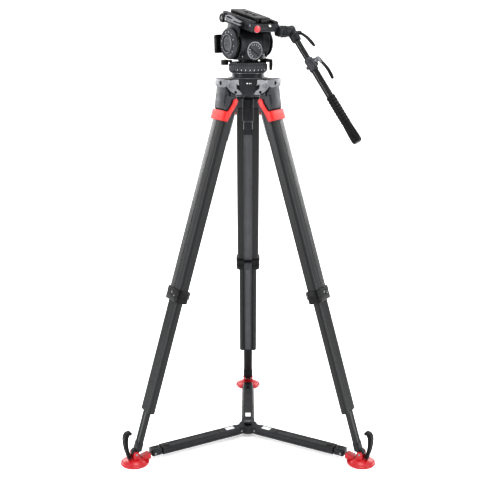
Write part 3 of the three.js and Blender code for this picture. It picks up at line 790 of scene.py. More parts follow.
def makeFoot(number):
    place = anklePlace(number)
    floor, radius = foot["floor"], foot["radius"]
    profile = [
        (radius - 4, floor), (radius - 1.2, floor + 0.6), (radius, floor + 2.4), (radius, floor + 4.6),
        (radius - 1.4, floor + 6.2), (radius - 5, floor + 7.4), (radius - 5.8, floor + 7.0),
        (radius - 7, floor + 8.2), (34, floor + 11), (27, floor + 14.6), (21, floor + 17.2),
        (12, floor + 18.6),
    ]
    tread = turned(profile, "z", (0, 0), 96)
    lugOutline = [
        (-50, floor + 9), (-36, floor + 5), (-18, floor + 5),
        (-18, floor + 19.6), (-38, floor + 24), (-50, floor + 26),
    ]
    lug = slab(rounded(lugOutline, 4, 5), -13, 13, "y", 2, 3)
    earOutline = [(-9, floor + 10), (9, floor + 10), (9, 3), (6, 8), (-6, 8), (-9, 3)]
    ears = slab(rounded(earOutline, 3, 5), -17, 17, "y", 1.4, 3)
    earRoom = box(-20, 20, -11.4, 11.4, floor + 19.2, 20, 0)
    piece = cut(fused(tread, lug, ears), earRoom)
    body = f"foot_{number}"
    setPiece(piece, f"foot{number}", place, body, finishes["redFoot"], [body], 40)
    pin = turned([(3, -18.2), (4, -17.4), (4, 17.4), (3, 18.2)], "y", (0, 0), 36)
    setPiece(pin, f"anklePin{number}", place, body, finishes["steel"])


strap = {"halfWidth": 8.5, "thickness": 4.6}


def makeStrap(number):
    place = anklePlace(number) @ Matrix.Translation((0.019, 0, -0.011))
    thick, half = strap["thickness"], strap["halfWidth"]
    section = rounded([(-thick, -half), (thick, -half), (thick, half), (-thick, half)], 3, 4)
    path = [
        (0, 0, 0), (3.6, 0, 14), (8, 0, 32), (10.2, 0, 54),
        (9.4, 0, 70), (4, 0, 80), (-3, 0, 82), (-8, 0, 78),
    ]
    band = sweep(path, section, [1.1, 1.15, 1.25, 1.4, 1.4, 1.15, 0.95], (0, 1, 0), 5)
    window = slab(rounded([(-30, 18), (30, 18), (30, 58), (-30, 58)], 5), -3.2, 3.2, "y", 0)
    cut(band, window)
    setPiece(
        band, f"footStrap{number}", place, f"strap_{number}", finishes["rubber"],
        [f"foot_strap_{number}"], 45,
    )


for number in legNumbers:
    makeTubes(number)
    makeCollar(number)
    makeYoke(number)
    makeBrakeLever(number)
    makeFoot(number)
    makeStrap(number)
print("legs and feet made")


# ground spreader, drawn along one arm: x outward from the middle, z up from the floor
spreader = {"low": 12, "high": 36, "half": 21, "start": 40, "end": 316, "tipEnd": 350}


def armOutline(half, low, high, chamfer):
    return [
        (-half, low + chamfer), (-half + chamfer, low), (half - chamfer, low), (half, low + chamfer),
        (half, high - chamfer), (half - chamfer, high), (-half + chamfer, high), (-half, high - chamfer),
    ]


def makeSpreaderArm(number):
    place = armPlace(number)
    low, high, half = spreader["low"], spreader["high"], spreader["half"]
    start, end, tipEnd = spreader["start"], spreader["end"], spreader["tipEnd"]
    sleeve = slab(rounded(armOutline(half, low, high, 6), 1.6, 3), start, end, "x", 0.9)
    room = slab(rounded(rectangle(-15.3, 15.3, low + 5.7, high - 5.7), 2), start + 30, end + 2, "x", 0)
    topGroove = slab(rounded(rectangle(-13, 13, high - 0.9, high + 2), 0.4), start + 70, end - 16, "x", 0)
    sideGrooves = [
        slab(rounded(rectangle(near, far, low + 10, high - 10), 0.4), start + 8, end - 8, "x", 0)
        for near, far in ((half - 0.8, half + 2), (-half - 2, -half + 0.8))
    ]
    cut(sleeve, room, topGroove, *sideGrooves)
    setPiece(
        sleeve, f"spreaderSleeve{number}", place, "spreader", finishes["matteTube"],
        [f"spreader_sleeve_{number}"],
    )
    label = slab(rounded(rectangle(start + 14, start + 44, -9, 9), 2.5), high - 0.1, high + 0.35, "z", 0.1)
    setPiece(label, f"spreaderTag{number}", place, "spreader", finishes["tag"])
    clampPad = slab(rounded(rectangle(end - 26, end - 6, -9, 9), 3), high - 0.6, high + 0.8, "z", 0.4)
    setPiece(clampPad, f"spreaderCatch{number}", place, "spreader", finishes["black"])
    tongue = slab(rounded(rectangle(-14.5, 14.5, low + 6.5, high - 6.5), 1.5), 150, tipEnd - 8, "x", 0.6)
    socket = slab(rounded(armOutline(17.4, low + 1, high - 1, 4), 1.5, 3), end + 4, tipEnd, "x", 1.2)
    fused(tongue, socket)
    notch = slab(rounded(rectangle(end + 12, tipEnd - 10, -8, 8), 3), high - 2.4, high + 3, "z", 0)
    cut(tongue, notch)
    setPiece(
        tongue, f"spreaderTip{number}", place, f"tip_{number}", finishes["cast"],
        [f"spreader_tip_{number}"],
    )
    pin = turned([(2.6, -18), (3.4, -17.4), (3.4, 17.4), (2.6, 18)], "y", (tipEnd - 9, 22), 32)
    setPiece(pin, f"spreaderTipPin{number}", place, f"tip_{number}", finishes["steel"])


def makeHub():
    low, high = spreader["low"], spreader["high"]
    centre = armPlace(1)
    hub = turned([(28.5, low), (30, low + 1.5), (30, high - 2), (28.5, high - 0.4)], "z", (0, 0), 72)
    armEnd = rounded(armOutline(17, low, high - 0.4, 4), 1.4, 3)
    arms = [
        turnedAbout(slab(armEnd, 0, spreader["start"] - 0.3, "x", 0.9), "z", turn) for turn in thirds
    ]
    fused(hub, *arms)
    pinProfile = [(2.8, -18), (3.6, -17.3), (3.6, 17.3), (2.8, 18)]
    pins = [turnedAbout(turned(pinProfile, "y", (33, 24), 32), "z", turn) for turn in thirds]
    setPiece(hub, "spreaderHub", centre, "spreader", finishes["matteTube"], ["spreader_hub"])
    setPiece(together(*pins), "spreaderHubPins", centre, "spreader", finishes["steel"])
    cap = turned(
        [(12.5, high + 0.2), (13.2, high + 1), (13.2, high + 5), (11.6, high + 7.4), (8.4, high + 8.6)],
        "z", (0, 0), 60, 0, 18, 1.1,
    )
    setPiece(cap, "spreaderCap", centre, "spreader", finishes["black"], ["spreader_cap"], 40)
    discProfile = [(7.2, high + 8.2), (7.2, high + 9.4), (6.4, high + 9.9), (2, high + 9.6)]
    centreDisc = turned(discProfile, "z", (0, 0), 48)
    setPiece(centreDisc, "spreaderCapDisc", centre, "spreader", finishes["steel"])


for number in legNumbers:
    makeSpreaderArm(number)
makeHub()
print("spreader made")


# crown and bowl: z from the bowl's rim, x towards one leg
crown = {
    "armHalf": 35,
    "armEnd": 91,
    "cheekNear": 28.8,
    "cheekSkin": 32.6,
    "pin": (78, -18),
}


def makeCrown():
    place = crownPlace(1)
    end, half = crown["armEnd"], crown["armHalf"]
    coreProfile = [(42, -56), (50, -48), (58.5, -38), (60.5, -24), (62, -12), (62.5, -6), (61.5, -2.4)]
    core = turned(coreProfile, "z", (0, 0), 96, 0.8)
    arms = []
    cheek = rounded([(40, -50), (60, -48.6), (79, -38), (90.5, -24), (end, -4), (40, -4)], 4, 4)
    topOutline = rounded([(38, -34), (88, -half), (end, -31), (end, 31), (88, half), (38, 34)], 3)
    for turn in thirds:
        for side in (-1, 1):
            near, far = sorted((side * crown["cheekNear"], side * crown["cheekSkin"]))
            arms.append(turnedAbout(slab(cheek, near, far, "y", 0.7), "z", turn))
        arms.append(turnedAbout(slab(topOutline, -6.4, -2, "z", 1.1), "z", turn))
    fused(core, *arms)
    bowlRoom = turned([(36.8, -50.2), (54.9, -38.4), (54.9, 3)], "z", (0, 0), 96)
    nutRoom = turned([(31, -70), (31, -40)], "z", (0, 0), 64)
    cut(core, bowlRoom, nutRoom)
    setPiece(core, "crown", place, "crown", finishes["cast"], ["crown"])

    pinProfile = [(5.2, -31), (6, -30), (6, 30), (5.2, 31)]
    pins = [turnedAbout(turned(pinProfile, "y", crown["pin"], 40), "z", turn) for turn in thirds]
    setPiece(together(*pins), "hingePins", place, "crown", finishes["steel"])
    for number, turn in zip(legNumbers, thirds):
        makeLegBracket(place @ Matrix.Rotation(math.radians(turn), 4, "Z"), number)
    marks = []
    for turn, size in ((178, 2.2), (184, 1.2), (188, 1.2)):
        mark = slab(rounded(rectangle(-size, size, -16, -12.8), 0.8), 61.4, 62.1, "x", 0)
        marks.append(turnedAbout(mark, "z", turn))
    setPiece(together(*marks), "crownMarks", place, "crown", finishes["mark"])


def makeLegBracket(place, number):
    # bright faces: an arched cheek on each side of the leg, pierced by a hole and a three-cornered window,
    # and a guard across the outer end with one round hole
    skin, end, half = crown["cheekSkin"], crown["armEnd"], crown["armHalf"]
    arch = [
        (end, -2.8), (84, -2.6), *arc(64, -58, 55, 74, 124, 9),
        (35, -40), (42, -48.6), (60, -47.6), (79, -37), (end, -23),
    ]
    outline = rounded(arch, 1.6, 3)
    window = rounded([(60, -16), (43, -25), (47, -37), (58, -30)], 3, 5)
    for side in (-1, 1):
        name = f"bracketFace{number}{'Left' if side < 0 else 'Right'}"
        near, far = sorted((side * skin, side * half))
        face = slab(outline, near, far, "y", 0.8)
        low, high = sorted((side * (skin + 0.4), side * (half + 5)))
        lowerHole = turned([(4.4, low), (4.4, high)], "y", (62, -40), 40)
        cut(face, lowerHole, slab(window, low, high, "y", 0))
        setPiece(face, name, place, "crown", finishes["light"])
        # black sheets at the bottom of the hole and the window: painted shade in these pockets
        near, far = sorted((side * (skin + 0.3), side * (skin + 0.6)))
        holeShades = [turned([(4.3, near), (4.3, far)], "y", (62, -40), 32), slab(window, near, far, "y", 0)]
        setPiece(together(*holeShades), name + "HoleShade", place, "crown", finishes["holeShade"])
        near, far = sorted((side * (half - 0.4), side * (half + 0.6)))
        cap = turned([(7.4, near), (7.4, far)], "y", (77, -20), 48, 0.4)
        low, high = sorted((side * (half + 0.1), side * (half + 4)))
        socket = turned([(2.8, low), (2.8, high)], "y", (77, -20), 6)
        setPiece(cut(cap, socket), name + "Cap", place, "crown", finishes["edge"])
    guardOutline = rounded([(-half, -3), (half, -3), (half, -22), (20, -26), (-20, -26), (-half, -22)], 3, 4)
    guard = slab(guardOutline, end - 0.4, end + 2.2, "x", 0.7)
    hole = turned([(6.4, end + 0.6), (6.4, end + 5)], "x", (0, -14), 48)
    setPiece(cut(guard, hole), f"bracketGuard{number}", place, "crown", finishes["light"])
    # a black disc at the bottom of the guard's hole: painted shade
    holeShade = turned([(6.3, end + 0.5), (6.3, end + 0.8)], "x", (0, -14), 40)
    setPiece(holeShade, f"bracketGuardHoleShade{number}", place, "crown", finishes["holeShade"])


bowl = {"outer": 54.4, "inner": 50.6}


def makeBowl():
    place = crownPlace(1)
    inner = bowl["inner"]
    profile = [(24, -49.6), (36, -49.6), (bowl["outer"], -38), (bowl["outer"], -1.2), (bowl["outer"] - 1, 0)]
    profile += [(inner + 1, 0), (inner, -0.8)]
    for angle in range(80, 25, -9):
        profile.append((inner * math.sin(math.radians(angle)), -inner * math.cos(math.radians(angle))))
    piece = ringShape(profile, "z", (0, 0), 96)
    setPiece(piece, "bowl", place, "crown", finishes["edge"], ["bowl"])


# the head, drawn in its own frame: x to the operator's right, y to the front, z from the bowl's rim
head = {
    "ball": 49.5,
    "neckTop": 14,
    "ringTop": 44,
    "ringRadius": 57.5,
    "axis": 99,
    "drum": 45,
    "drumHalf": 50,
    "dialRadius": 28,
    "dialX": -5,
    "dialZ": 79,
}


def makeBase():
    ball = head["ball"]
    profile = [(8, -38), (30, -38)]
    for angle in (45, 55, 65, 75, 85):
        profile.append((ball * math.sin(math.radians(angle)), -ball * math.cos(math.radians(angle))))
    profile += [(49, 0.6), (48.4, 2), (47.6, 4), (47.6, 12.6), (46.8, head["neckTop"])]
    profile += [(24, head["neckTop"]), (24, 42)]
    piece = turned(profile, "z", (0, 0), 96)
    stem = turned([(8, -84), (8, -36)], "z", (0, 0), 40)
    setPiece(fused(piece, stem), "halfBall", headPlace, "ball", finishes["cast"], ["half_ball"])
    ringLine = ringShape([(47.2, 11.8), (52.4, 13.2), (52.4, 14.2), (47.2, 14.2)], "z", (0, 0), 96)
    setPiece(ringLine, "silverRing", headPlace, "ball", finishes["steel"])

    handleProfile = [
        (3, -134), (13, -134), (16, -132), (17.3, -129), (17.5, -126),
        (17.5, -68), (16.6, -64), (13, -61), (13, -57),
    ]
    handle = turned(handleProfile, "z", (0, 0), 120, 0, 12, 1.6)
    flange = turned([(24, -58), (25, -57.2), (25, -53.8), (24.2, -53)], "z", (0, 0), 72)
    knob = fused(handle, flange)
    grooves = [
        ringShape([(16.2, low), (19, low), (19, low + 2), (16.2, low + 2)]) for low in (-92, -86, -80, -74)
    ]
    cut(knob, turned([(8.3, -85), (8.3, -50)], "z", (0, 0), 40), *grooves)
    setPiece(
        knob, "tieDownKnob", headPlace, "tie_down", finishes["coat"], ["tie_down_knob"], 40
    )

    low, top, radius = head["neckTop"] + 1, head["ringTop"], head["ringRadius"]
    collarProfile = [
        (39, low), (52.6, low), (54, low + 1.2), (radius - 0.8, low + 4), (radius, low + 5.4),
        (radius, top - 7), (radius - 1, top - 5.8), (radius - 2.6, top - 5.4), (radius - 2.6, top - 1),
        (radius - 3.4, top), (39, top),
    ]
    ring = ringShape(collarProfile, "z", (0, 0), 240, 48, 1.5)
    setPiece(
        ring, "panDragRing", headPlace, "drag_ring", finishes["coat"], ["pan_drag_ring"], 50
    )
    ticks = []
    for step in range(8):
        tickOutline = rounded(rectangle(-0.6, 0.6, low + 6.4, low + 10.4), 0.3)
        tick = slab(tickOutline, radius - 0.5, radius + 0.15, "x", 0)
        ticks.append(turnedAbout(tick, "z", 205 + step * 13))
    setPiece(together(*ticks), "panDragTicks", headPlace, "drag_ring", finishes["mark"])


def makeHousing():
    axis, drum, half = head["axis"], head["drum"], head["drumHalf"]
    body = turned(
        [(drum - 2, -half), (drum, -half + 2), (drum, -30), (drum + 0.8, -28), (drum + 0.8, 28), (drum, 30),
         (drum, half - 2), (drum - 2, half)],
        "x", (0, axis), 96,
    )
    skirt = turned(
        [(50, 52.4), (52, 54), (52, 56), (51, 63), (49, 74), (46, 90), (30, 92)], "z", (0, 0), 96
    )
    seat = turned([(30, 44.4), (30, 54)], "z", (0, 0), 64)
    boss = turned([(29, -43.4), (31, -41.6), (31.4, -10)], "y", (head["dialX"], head["dialZ"]), 80)
    sideRibs = [
        slab(rounded([(-31, 56), (31, 56), (24, 96), (-24, 96)], 8, 5), low, high, "x", 1.4)
        for low, high in ((-49, -44), (44, 49))
    ]
    fused(body, skirt, seat, boss, *sideRibs)
    dialRoom = turned([(28.3, -60), (28.3, -40.7)], "y", (head["dialX"], head["dialZ"]), 80)
    coreRoom = turned([(24, -half - 2), (24, half + 2)], "x", (0, axis), 64)
    shaftRoom = turned([(25, 42), (25, 60)], "z", (0, 0), 64)
    window = slab(rounded(rectangle(-14, 6, 56, 61), 2), -60, -50, "y", 0)
    lineProfile = [(drum - 0.7, 22), (drum + 3, 22), (drum + 3, 23.6), (drum - 0.7, 23.6)]
    shadowLine = ringShape(lineProfile, "x", (0, axis), 96)
    cut(body, dialRoom, coreRoom, shaftRoom, window, shadowLine)
    setPiece(body, "headHousing", headPlace, "pan", finishes["cast"], ["head_housing"])
    screws = []
    for x, z, wallRadius in ((34, 60, 50), (34, 92, 47), (-38, 62, 50)):
        screw = turned([(3, 0), (3, 1.0), (2.4, 1.4)], "y", (x, z), 28)
        depth = -math.sqrt(wallRadius**2 - x**2)
        screw.data.transform(Matrix.Rotation(math.pi, 4, "Z") @ Matrix.Translation((-2 * x, 0, 0)))
        screw.data.transform(Matrix.Translation((0, depth + 0.9, 0)))
        screws.append(screw)
    setPiece(together(*screws), "housingScrews", headPlace, "pan", finishes["steel"])


def makeBubbleLevel():
    arm = slab(rounded([(-70, 21), (-44, 15), (-44, 36), (-66, 39)], 5, 5), 44.6, 50, "z", 1)
    cup = turned([(10.2, 36), (11, 37.4), (11, 49.4), (10.2, 50.6)], "z", (-63, 30), 56)
    rim = turned([(8.4, 49), (8.4, 52)], "z", (-63, 30), 48)
    cut(cup, rim)
    fused(arm, cup)
    setPiece(arm, "bubbleCup", headPlace, "pan", finishes["black"], ["bubble_level"])
    vial = turned([(8.2, 48.6), (8.2, 50), (7.2, 51.2), (4.6, 51.9), (2, 52.2)], "z", (-63, 30), 48)
    setPiece(vial, "bubbleVial", headPlace, "pan", finishes["vial"])
    bullseye = ringShape([(3.1, 51.6), (3.7, 51.6), (3.7, 52.3), (3.1, 52.3)], "z", (-63, 30), 40)
    setPiece(bullseye, "bubbleRing", headPlace, "pan", finishes["black"])


def makePanBrake():
    turn = -36.7
    pivot = turned([(12, 44.6), (12.6, 45.6), (12.6, 51.6), (11.4, 53), (5, 53.4)], "z", (44, -34), 56)
    arm = slab(rounded([(36, -8), (73, -6.4), (73, 6.4), (36, 8)], 4, 5), 44.6, 52.4, "z", 1.4)
    turnedAbout(arm, "z", turn)
    handleOutline = [(64.6, 20), (71.6, 20), (73.4, 34), (73, 52), (64, 52), (63.4, 34)]
    handle = slab(rounded(handleOutline, 3, 5), -8, 8, "y", 1.8, 3)
    turnedAbout(handle, "z", turn)
    grooves = [
        turnedAbout(box(71.4, 76, -5.6, 5.6, low, low + 1.6, 0), "z", turn) for low in range(24, 44, 4)
    ]
    piece = fused(pivot, arm, handle)
    cut(piece, *grooves)
    setPiece(
        piece, "panBrakeLever", headPlace, "pan_brake", finishes["black"],
        ["pan_brake_lever"],
    )
    cap = turned([(5, 53), (5, 54.2), (4.2, 54.8)], "z", (44, -34), 36)
    setPiece(cap, "panBrakeCap", headPlace, "pan_brake", finishes["steel"])


def makeCounterDial():
    radius, x, z = head["dialRadius"], head["dialX"], head["dialZ"]
    face = turned([(radius - 1.2, -46.2), (radius, -45), (radius, -41)], "y", (x, z), 160, 0, 40, 0.9)
    rimProfile = [(radius - 5.4, -46.6), (radius - 2, -46.6), (radius - 2, -45.6), (radius - 5.4, -45.6)]
    rim = ringShape(rimProfile, "y", (x, z), 96)
    gripOutline = [(x - 21, z - 4.4), (x + 21, z - 3), (x + 21, z + 3), (x - 21, z + 4.4)]
    grip = slab(rounded(gripOutline, 2.4, 5), -50, -45.8, "y", 1.1, 3)
    fused(face, turnedAbout(grip, "y", 38, (x, 0, z)))
    setPiece(
        face, "counterbalanceDial", headPlace, "dial", finishes["coat"], ["counterbalance_dial"]
    )
    setPiece(rim, "counterbalanceRim", headPlace, "dial", finishes["edge"])
    ticks = []
    for step in range(10):
        tick = slab(rounded(rectangle(x - 0.5, x + 0.5, z + 15.4, z + 19.4), 0.2), -46.7, -46.1, "y", 0)
        ticks.append(turnedAbout(tick, "y", -150 + step * 24, (x, 0, z)))
    setPiece(together(*ticks), "counterbalanceTicks", headPlace, "dial", finishes["mark"])


def makeTiltBrake():
    axis = head["axis"]
    hubProfile = [(23.4, -61.8), (44.6, -61.8), (45.6, -61), (45.6, -58.5), (23.4, -58.5)]
    hub = ringShape(hubProfile, "x", (0, axis), 96)
    paddleOutline = [
        (48, axis - 29), (60, axis - 30), (61.6, axis + 22), (50, axis + 25), (46.6, axis + 4),
    ]
    paddle = slab(rounded(paddleOutline, 3, 5), -81.6, -58.6, "x", 2.2, 3)
    web = slab(rounded(rectangle(28, 52, axis - 20, axis + 18), 3), -61.8, -58.5, "x", 0.5)
    grooves = [box(-90, -56, 60.4, 64, low, low + 1.8, 0) for low in range(axis - 24, axis + 18, 6)]
    fused(hub, paddle, web)
    cut(hub, *grooves)
    setPiece(
        hub, "tiltBrakeLever", headPlace, "tilt_brake", finishes["black"],
        ["tilt_brake_lever"],
    )


makeCrown()
makeBowl()
makeBase()
makeHousing()
makeBubbleLevel()
makePanBrake()
makeCounterDial()
makeTiltBrake()
print("crown, bowl and panning head made")


# the tilting platform, drawn about the tilt axis: x to the right, y to the front
platform = {
    "half": 46,
    "rear": -92,
    "front": 84,
    "bottom": 49,
    "top": 72,
    "railTop": 79,
    "cheekNear": 50.4,
    "cheekFar": 58,
    "cheekRadius": 34,
    "plateTop": 86,
    "shaft": 23.9,
    "button": (-33, 60),
    "eye": (12, -89, 67),
}


def makePlatform():
    half, rear, front = platform["half"], platform["rear"], platform["front"]
    bottom, top, railTop = platform["bottom"], platform["top"], platform["railTop"]
    side = [
        (rear, bottom + 4), (rear + 6, bottom), (front - 16, bottom), (front, bottom + 9), (front, top - 2),
        (front - 2, top), (rear + 9, top), (rear, top - 9),
    ]
    deck = slab(rounded(side, 3, 4), -half, half, "x", 1.8, 3)
    parts = []
    for sideways in (-1, 1):
        profile = [
            (sideways * half, top - 1), (sideways * half, railTop - 3.4), (sideways * (half - 4), railTop),
            (sideways * 31, railTop), (sideways * 29, railTop - 1.6), (sideways * 31.4, top - 1),
        ]
        if sideways > 0:
            profile.reverse()
        parts.append(slab(profile, -80, 84, "y", 0.7))
        low, high = sorted((sideways * platform["cheekNear"], sideways * platform["cheekFar"]))
        cheek = platform["cheekRadius"]
        parts.append(turned([(cheek, low), (cheek, high)], "x", (0, 0), 80, 0.9))
        web = rounded([(-32, 0), (32, 0), (30, 57), (-30, 57)], 4, 4)
        parts.append(slab(web, low, high, "x", 0.9))
        shelfLow, shelfHigh = sorted((sideways * 40, sideways * (platform["cheekFar"] - 0.6)))
        parts.append(box(shelfLow, shelfHigh, -30, 30, 50, 57, 0.8))
    bracketOutline = [(-104, 44), (-98, 37), (-76, 37), (-70, 52), (-74, 66), (-99, 66), (-104, 60)]
    bracket = slab(rounded(bracketOutline, 4, 5), 40, 60.4, "x", 1.6, 3)
    rosette = turned([(17, 52), (17, 60.6), (16, 62)], "x", (-90, 51), 120, 0, 30, 0.9)
    fused(deck, *parts, bracket, rosette)
    cutters = [turned([(platform["shaft"], -70), (platform["shaft"], 70)], "x", (0, 0), 64)]
    cutters.append(turned([(9.3, -96), (9.3, -88.8)], "y", platform["button"], 56))
    for sideways, places in ((-1, (-62, -44)), (1, (-62, -44, 52, 68))):  # pockets along the deck's flanks
        low, high = sorted((sideways * (half - 1.6), sideways * (half + 4)))
        for place in places:
            pocket = rectangle(place - 6.5, place + 6.5, bottom + 6, top - 6)
            cutters.append(slab(rounded(pocket, 2.5), low, high, "x", 0))
    rearPocket = rounded(rectangle(2, 34, bottom + 6.5, top - 5.5), 3)
    cutters.append(slab(rearPocket, rear - 3, rear + 1.4, "y", 0))
    for place in range(-70, 80, 10):  # stepped scale along the rails
        cutters.append(box(-half - 2, -half + 0.9, place, place + 1.1, railTop - 6.4, railTop - 3.2, 0))
        cutters.append(box(half - 0.9, half + 2, place, place + 1.1, railTop - 6.4, railTop - 3.2, 0))
    cut(deck, *cutters)
    setPiece(deck, "platform", tiltPlace, "tilt", finishes["cast"], ["tilt_platform"])
    eyePlace = tiltPlace @ Matrix.Translation(Vector(platform["eye"]) * 0.001)
    eyePlace = eyePlace @ Matrix.Rotation(math.radians(45), 4, "X")
    eye = turned([(4.4, -1.6), (4.4, 0.5), (3.7, 1.2), (1.6, 1.6)], "z", (0, 0), 44)
    setPiece(eye, "platformBubble", eyePlace, "tilt", finishes["vial"])
    eyeRim = ringShape([(4.2, -1), (5.8, -1), (5.8, 0.5), (4.2, 0.9)], "z", (0, 0), 48)
    setPiece(eyeRim, "platformBubbleRim", eyePlace, "tilt", finishes["black"])
    screws = []
    for x, y in ((-38, -60), (-38, 8), (38, -60), (38, 8), (-38, 66), (38, 66)):
        screw = turned([(3, railTop - 0.4), (3, railTop + 0.5), (2.5, railTop + 0.8)], "z", (x, y), 28)
        socket = turned([(1.4, railTop + 0.2), (1.4, railTop + 2)], "z", (x, y), 6)
        screws.append(cut(screw, socket))
    setPiece(together(*screws), "railScrews", tiltPlace, "tilt", finishes["steel"])
    sideScrew = turned([(3.6, -half + 0.6), (3.6, -half - 0.5), (2.8, -half - 0.9)], "x", (-74, 66), 36)
    setPiece(sideScrew, "platformSideScrew", tiltPlace, "tilt", finishes["steel"])


def makeCameraPlate():
    bottom, top = platform["top"] + 0.3, platform["plateTop"]
    outline = [(-24, -70), (24, -70), (26, -64), (26, 70), (22, 76), (-22, 76), (-26, 70), (-26, -64)]
    plate = slab(rounded(outline, 3, 4), bottom, top, "z", 1.1, 3)
    stop = slab(rounded(rectangle(-12, 12, -76, -68), 2), bottom, top - 3, "z", 0.8)
    fused(plate, stop)
    cutters = [slab(rounded(rectangle(-3.3, 3.3, -40, 45), 3.2, 6), bottom - 1, top + 1, "z", 0)]
    cutters.append(slab(rounded(rectangle(-7, 7, -44, 49), 6.8, 6), bottom + 2, top - 4.6, "z", 0))
    for step in range(14):  # grip pad grooves across the top
        middle = -60 + step * 9.4
        for low, high in ((-22, -10), (10, 22)):
            cutters.append(box(low, high, middle, middle + 2.4, top - 0.7, top + 2, 0))
    for place in range(-64, 70, 8):
        for low, high in ((-30, -25.2), (25.2, 30)):
            cutters.append(box(low, high, place, place + 2, top - 5, top - 2.4, 0))
    cut(plate, *cutters)
    setPiece(plate, "cameraPlate", tiltPlace, "plate", finishes["black"], ["camera_plate"])
    screws = []
    for y in (-20, 24):
        screwHead = turned([(5.6, top - 6.4), (5.6, top - 3.6), (5, top - 3.2)], "z", (0, y), 48)
        thread = turned([(2.8, top - 4), (3.1, top - 3), (3.1, top + 4.6), (2.5, top + 5.4)], "z", (0, y), 32)
        screws.append(fused(screwHead, thread))
    setPiece(together(*screws), "cameraScrews", tiltPlace, "plate", finishes["steel"])


def makePlateLever():
    # an arched frame at its pivot, running back into two parallel bars
    hub = turned([(5, 57.8), (5.6, 58.6), (5.6, 70.4), (5, 71)], "z", (-52, 44), 44)
    outline = [
        (49, 58.2), (49.6, 66), (46, 73.4), (36, 76.6), (14, 76), (-10, 72.6), (-38, 71),
        (-38, 66.6), (-4, 66.6), (2, 65), (-4, 63.4), (-38, 63.4), (-38, 58.2),
    ]
    frameBar = slab(rounded(outline, 1.8, 4), -57.4, -49.4, "x", 0.9, 3)
    opening = rounded([(40, 69), (38, 72.6), (26, 73.4), (8, 71.4), (4, 69.4), (20, 68)], 1.2, 4)
    lowerSlot = rounded([(40, 61.6), (40, 65.4), (12, 65.4), (12, 61.6)], 1.6, 4)
    cut(frameBar, slab(opening, -60, -47, "x", 0), slab(lowerSlot, -60, -55.8, "x", 0))
    fused(hub, frameBar)
    setPiece(hub, "plateLever", tiltPlace, "plate_lever", finishes["light"], ["plate_lever"])
    cap = turned([(4, 70.6), (4, 71.8), (3.2, 72.4)], "z", (-52, 44), 36)
    setPiece(cap, "plateLeverScrew", tiltPlace, "plate_lever", finishes["steel"])


def makePlateKnob():
    profile = [(11.6, -57.8), (13, -56.4), (13.4, -54), (13.4, -49.6), (12.6, -47.4), (9, -46.6)]
    knob = turned(profile, "x", (69, 61), 120, 0, 12, 1.3)
    cut(knob, turned([(8.6, -59), (8, -56.8)], "x", (69, 61), 56))
    setPiece(
        knob, "plateLockKnob", tiltPlace, "plate_lock", finishes["black"],
        ["plate_lock_knob"], 45,
    )
    cap = turned([(4.6, -57.9), (5.6, -57.2), (5.6, -56.6)], "x", (69, 61), 40)
    setPiece(cap, "plateLockCap", tiltPlace, "plate_lock", finishes["edge"])


def makeButton():
    button = turned([(7.4, -97), (8.6, -96.4), (9, -95.2), (9, -92.4)], "y", platform["button"], 56)
    setPiece(
        button, "releaseButton", tiltPlace, "button", finishes["redButton"], ["release_button"]
    )
    ringProfile = [(9.4, -93.2), (11, -93.2), (11, -92.2), (9.4, -92.2)]
    collarRing = ringShape(ringProfile, "y", platform["button"], 56)
    setPiece(collarRing, "buttonRing", tiltPlace, "tilt", finishes["edge"])


def makeDragDisc():
    # the big left knob: stepped rim, a bright inner ring and a plain knurled middle
    profile = [
        (22, -58.4), (22, -62.4), (44, -62.4), (45, -63.4), (45, -66.4), (44.2, -67.6), (40.4, -71.8),
        (38.8, -72), (37.6, -70.6), (30.6, -69.6), (29.4, -70.4), (28, -73.4), (27, -74), (25.4, -74),
        (24.4, -73), (23.6, -70.4), (2, -70),
    ]
    disc = turned(profile, "x", (0, 0), 144, 0, 36, 0.9)
    setPiece(
        disc, "tiltDragDisc", tiltPlace, "drag_disc", finishes["coat"], ["tilt_drag_disc"], 25
    )
    ringProfile = [(25.2, -73.6), (27.6, -73.4), (28.3, -71.8), (27.2, -74.15), (25.4, -74.2)]
    brightRing = ringShape(ringProfile, "x", (0, 0), 120)
    setPiece(brightRing, "dragDiscRing", tiltPlace, "drag_disc", finishes["light"])
    centre = turned([(20.6, -69.8), (20.6, -71.6), (19.2, -72.6), (12, -73.2), (4, -73.4)], "x", (0, 0), 96)
    grooves = []
    for step in range(-2, 3):  # a plain crossed knurl
        low, high = step * 6.4 - 1.1, step * 6.4 + 1.1
        grooves.append(box(-80, -72.1, -24, 24, low, high, 0))
        grooves.append(turnedAbout(box(-80, -72.1, -24, 24, low, high, 0), "x", 90))
    cut(centre, *grooves)
    turnedAbout(centre, "x", 35)
    setPiece(centre, "dragDiscCentre", tiltPlace, "drag_disc", finishes["edge"])
    ticks = []
    for step in range(9):
        tick = slab(rounded(rectangle(-0.5, 0.5, 31.8, 36.4), 0.2), -70.9, -69.9, "x", 0)
        ticks.append(turnedAbout(tick, "x", -120 + step * 30))
    setPiece(together(*ticks), "dragDiscTicks", tiltPlace, "drag_disc", finishes["mark"])


def makeRightCover():
    profile = [
        (12, 58.4), (40, 58.4), (41, 59.4), (40.4, 61), (38, 64.4),
        (36.4, 65.2), (24, 65.6), (22.8, 66.4), (12, 66.8), (2, 67),
    ]
    cover = turned(profile, "x", (0, 0), 112)
    setPiece(cover, "rightCover", tiltPlace, "tilt", finishes["cast"], ["right_cover"])
    screws = [
        turned([(2.6, 64.8), (2.6, 65.9), (2.1, 66.3)], "x", (30 * math.cos(turn), 30 * math.sin(turn)), 28)
        for turn in (0.6, 2.7, 4.8)
    ]
    setPiece(together(*screws), "rightCoverScrews", tiltPlace, "tilt", finishes["steel"])


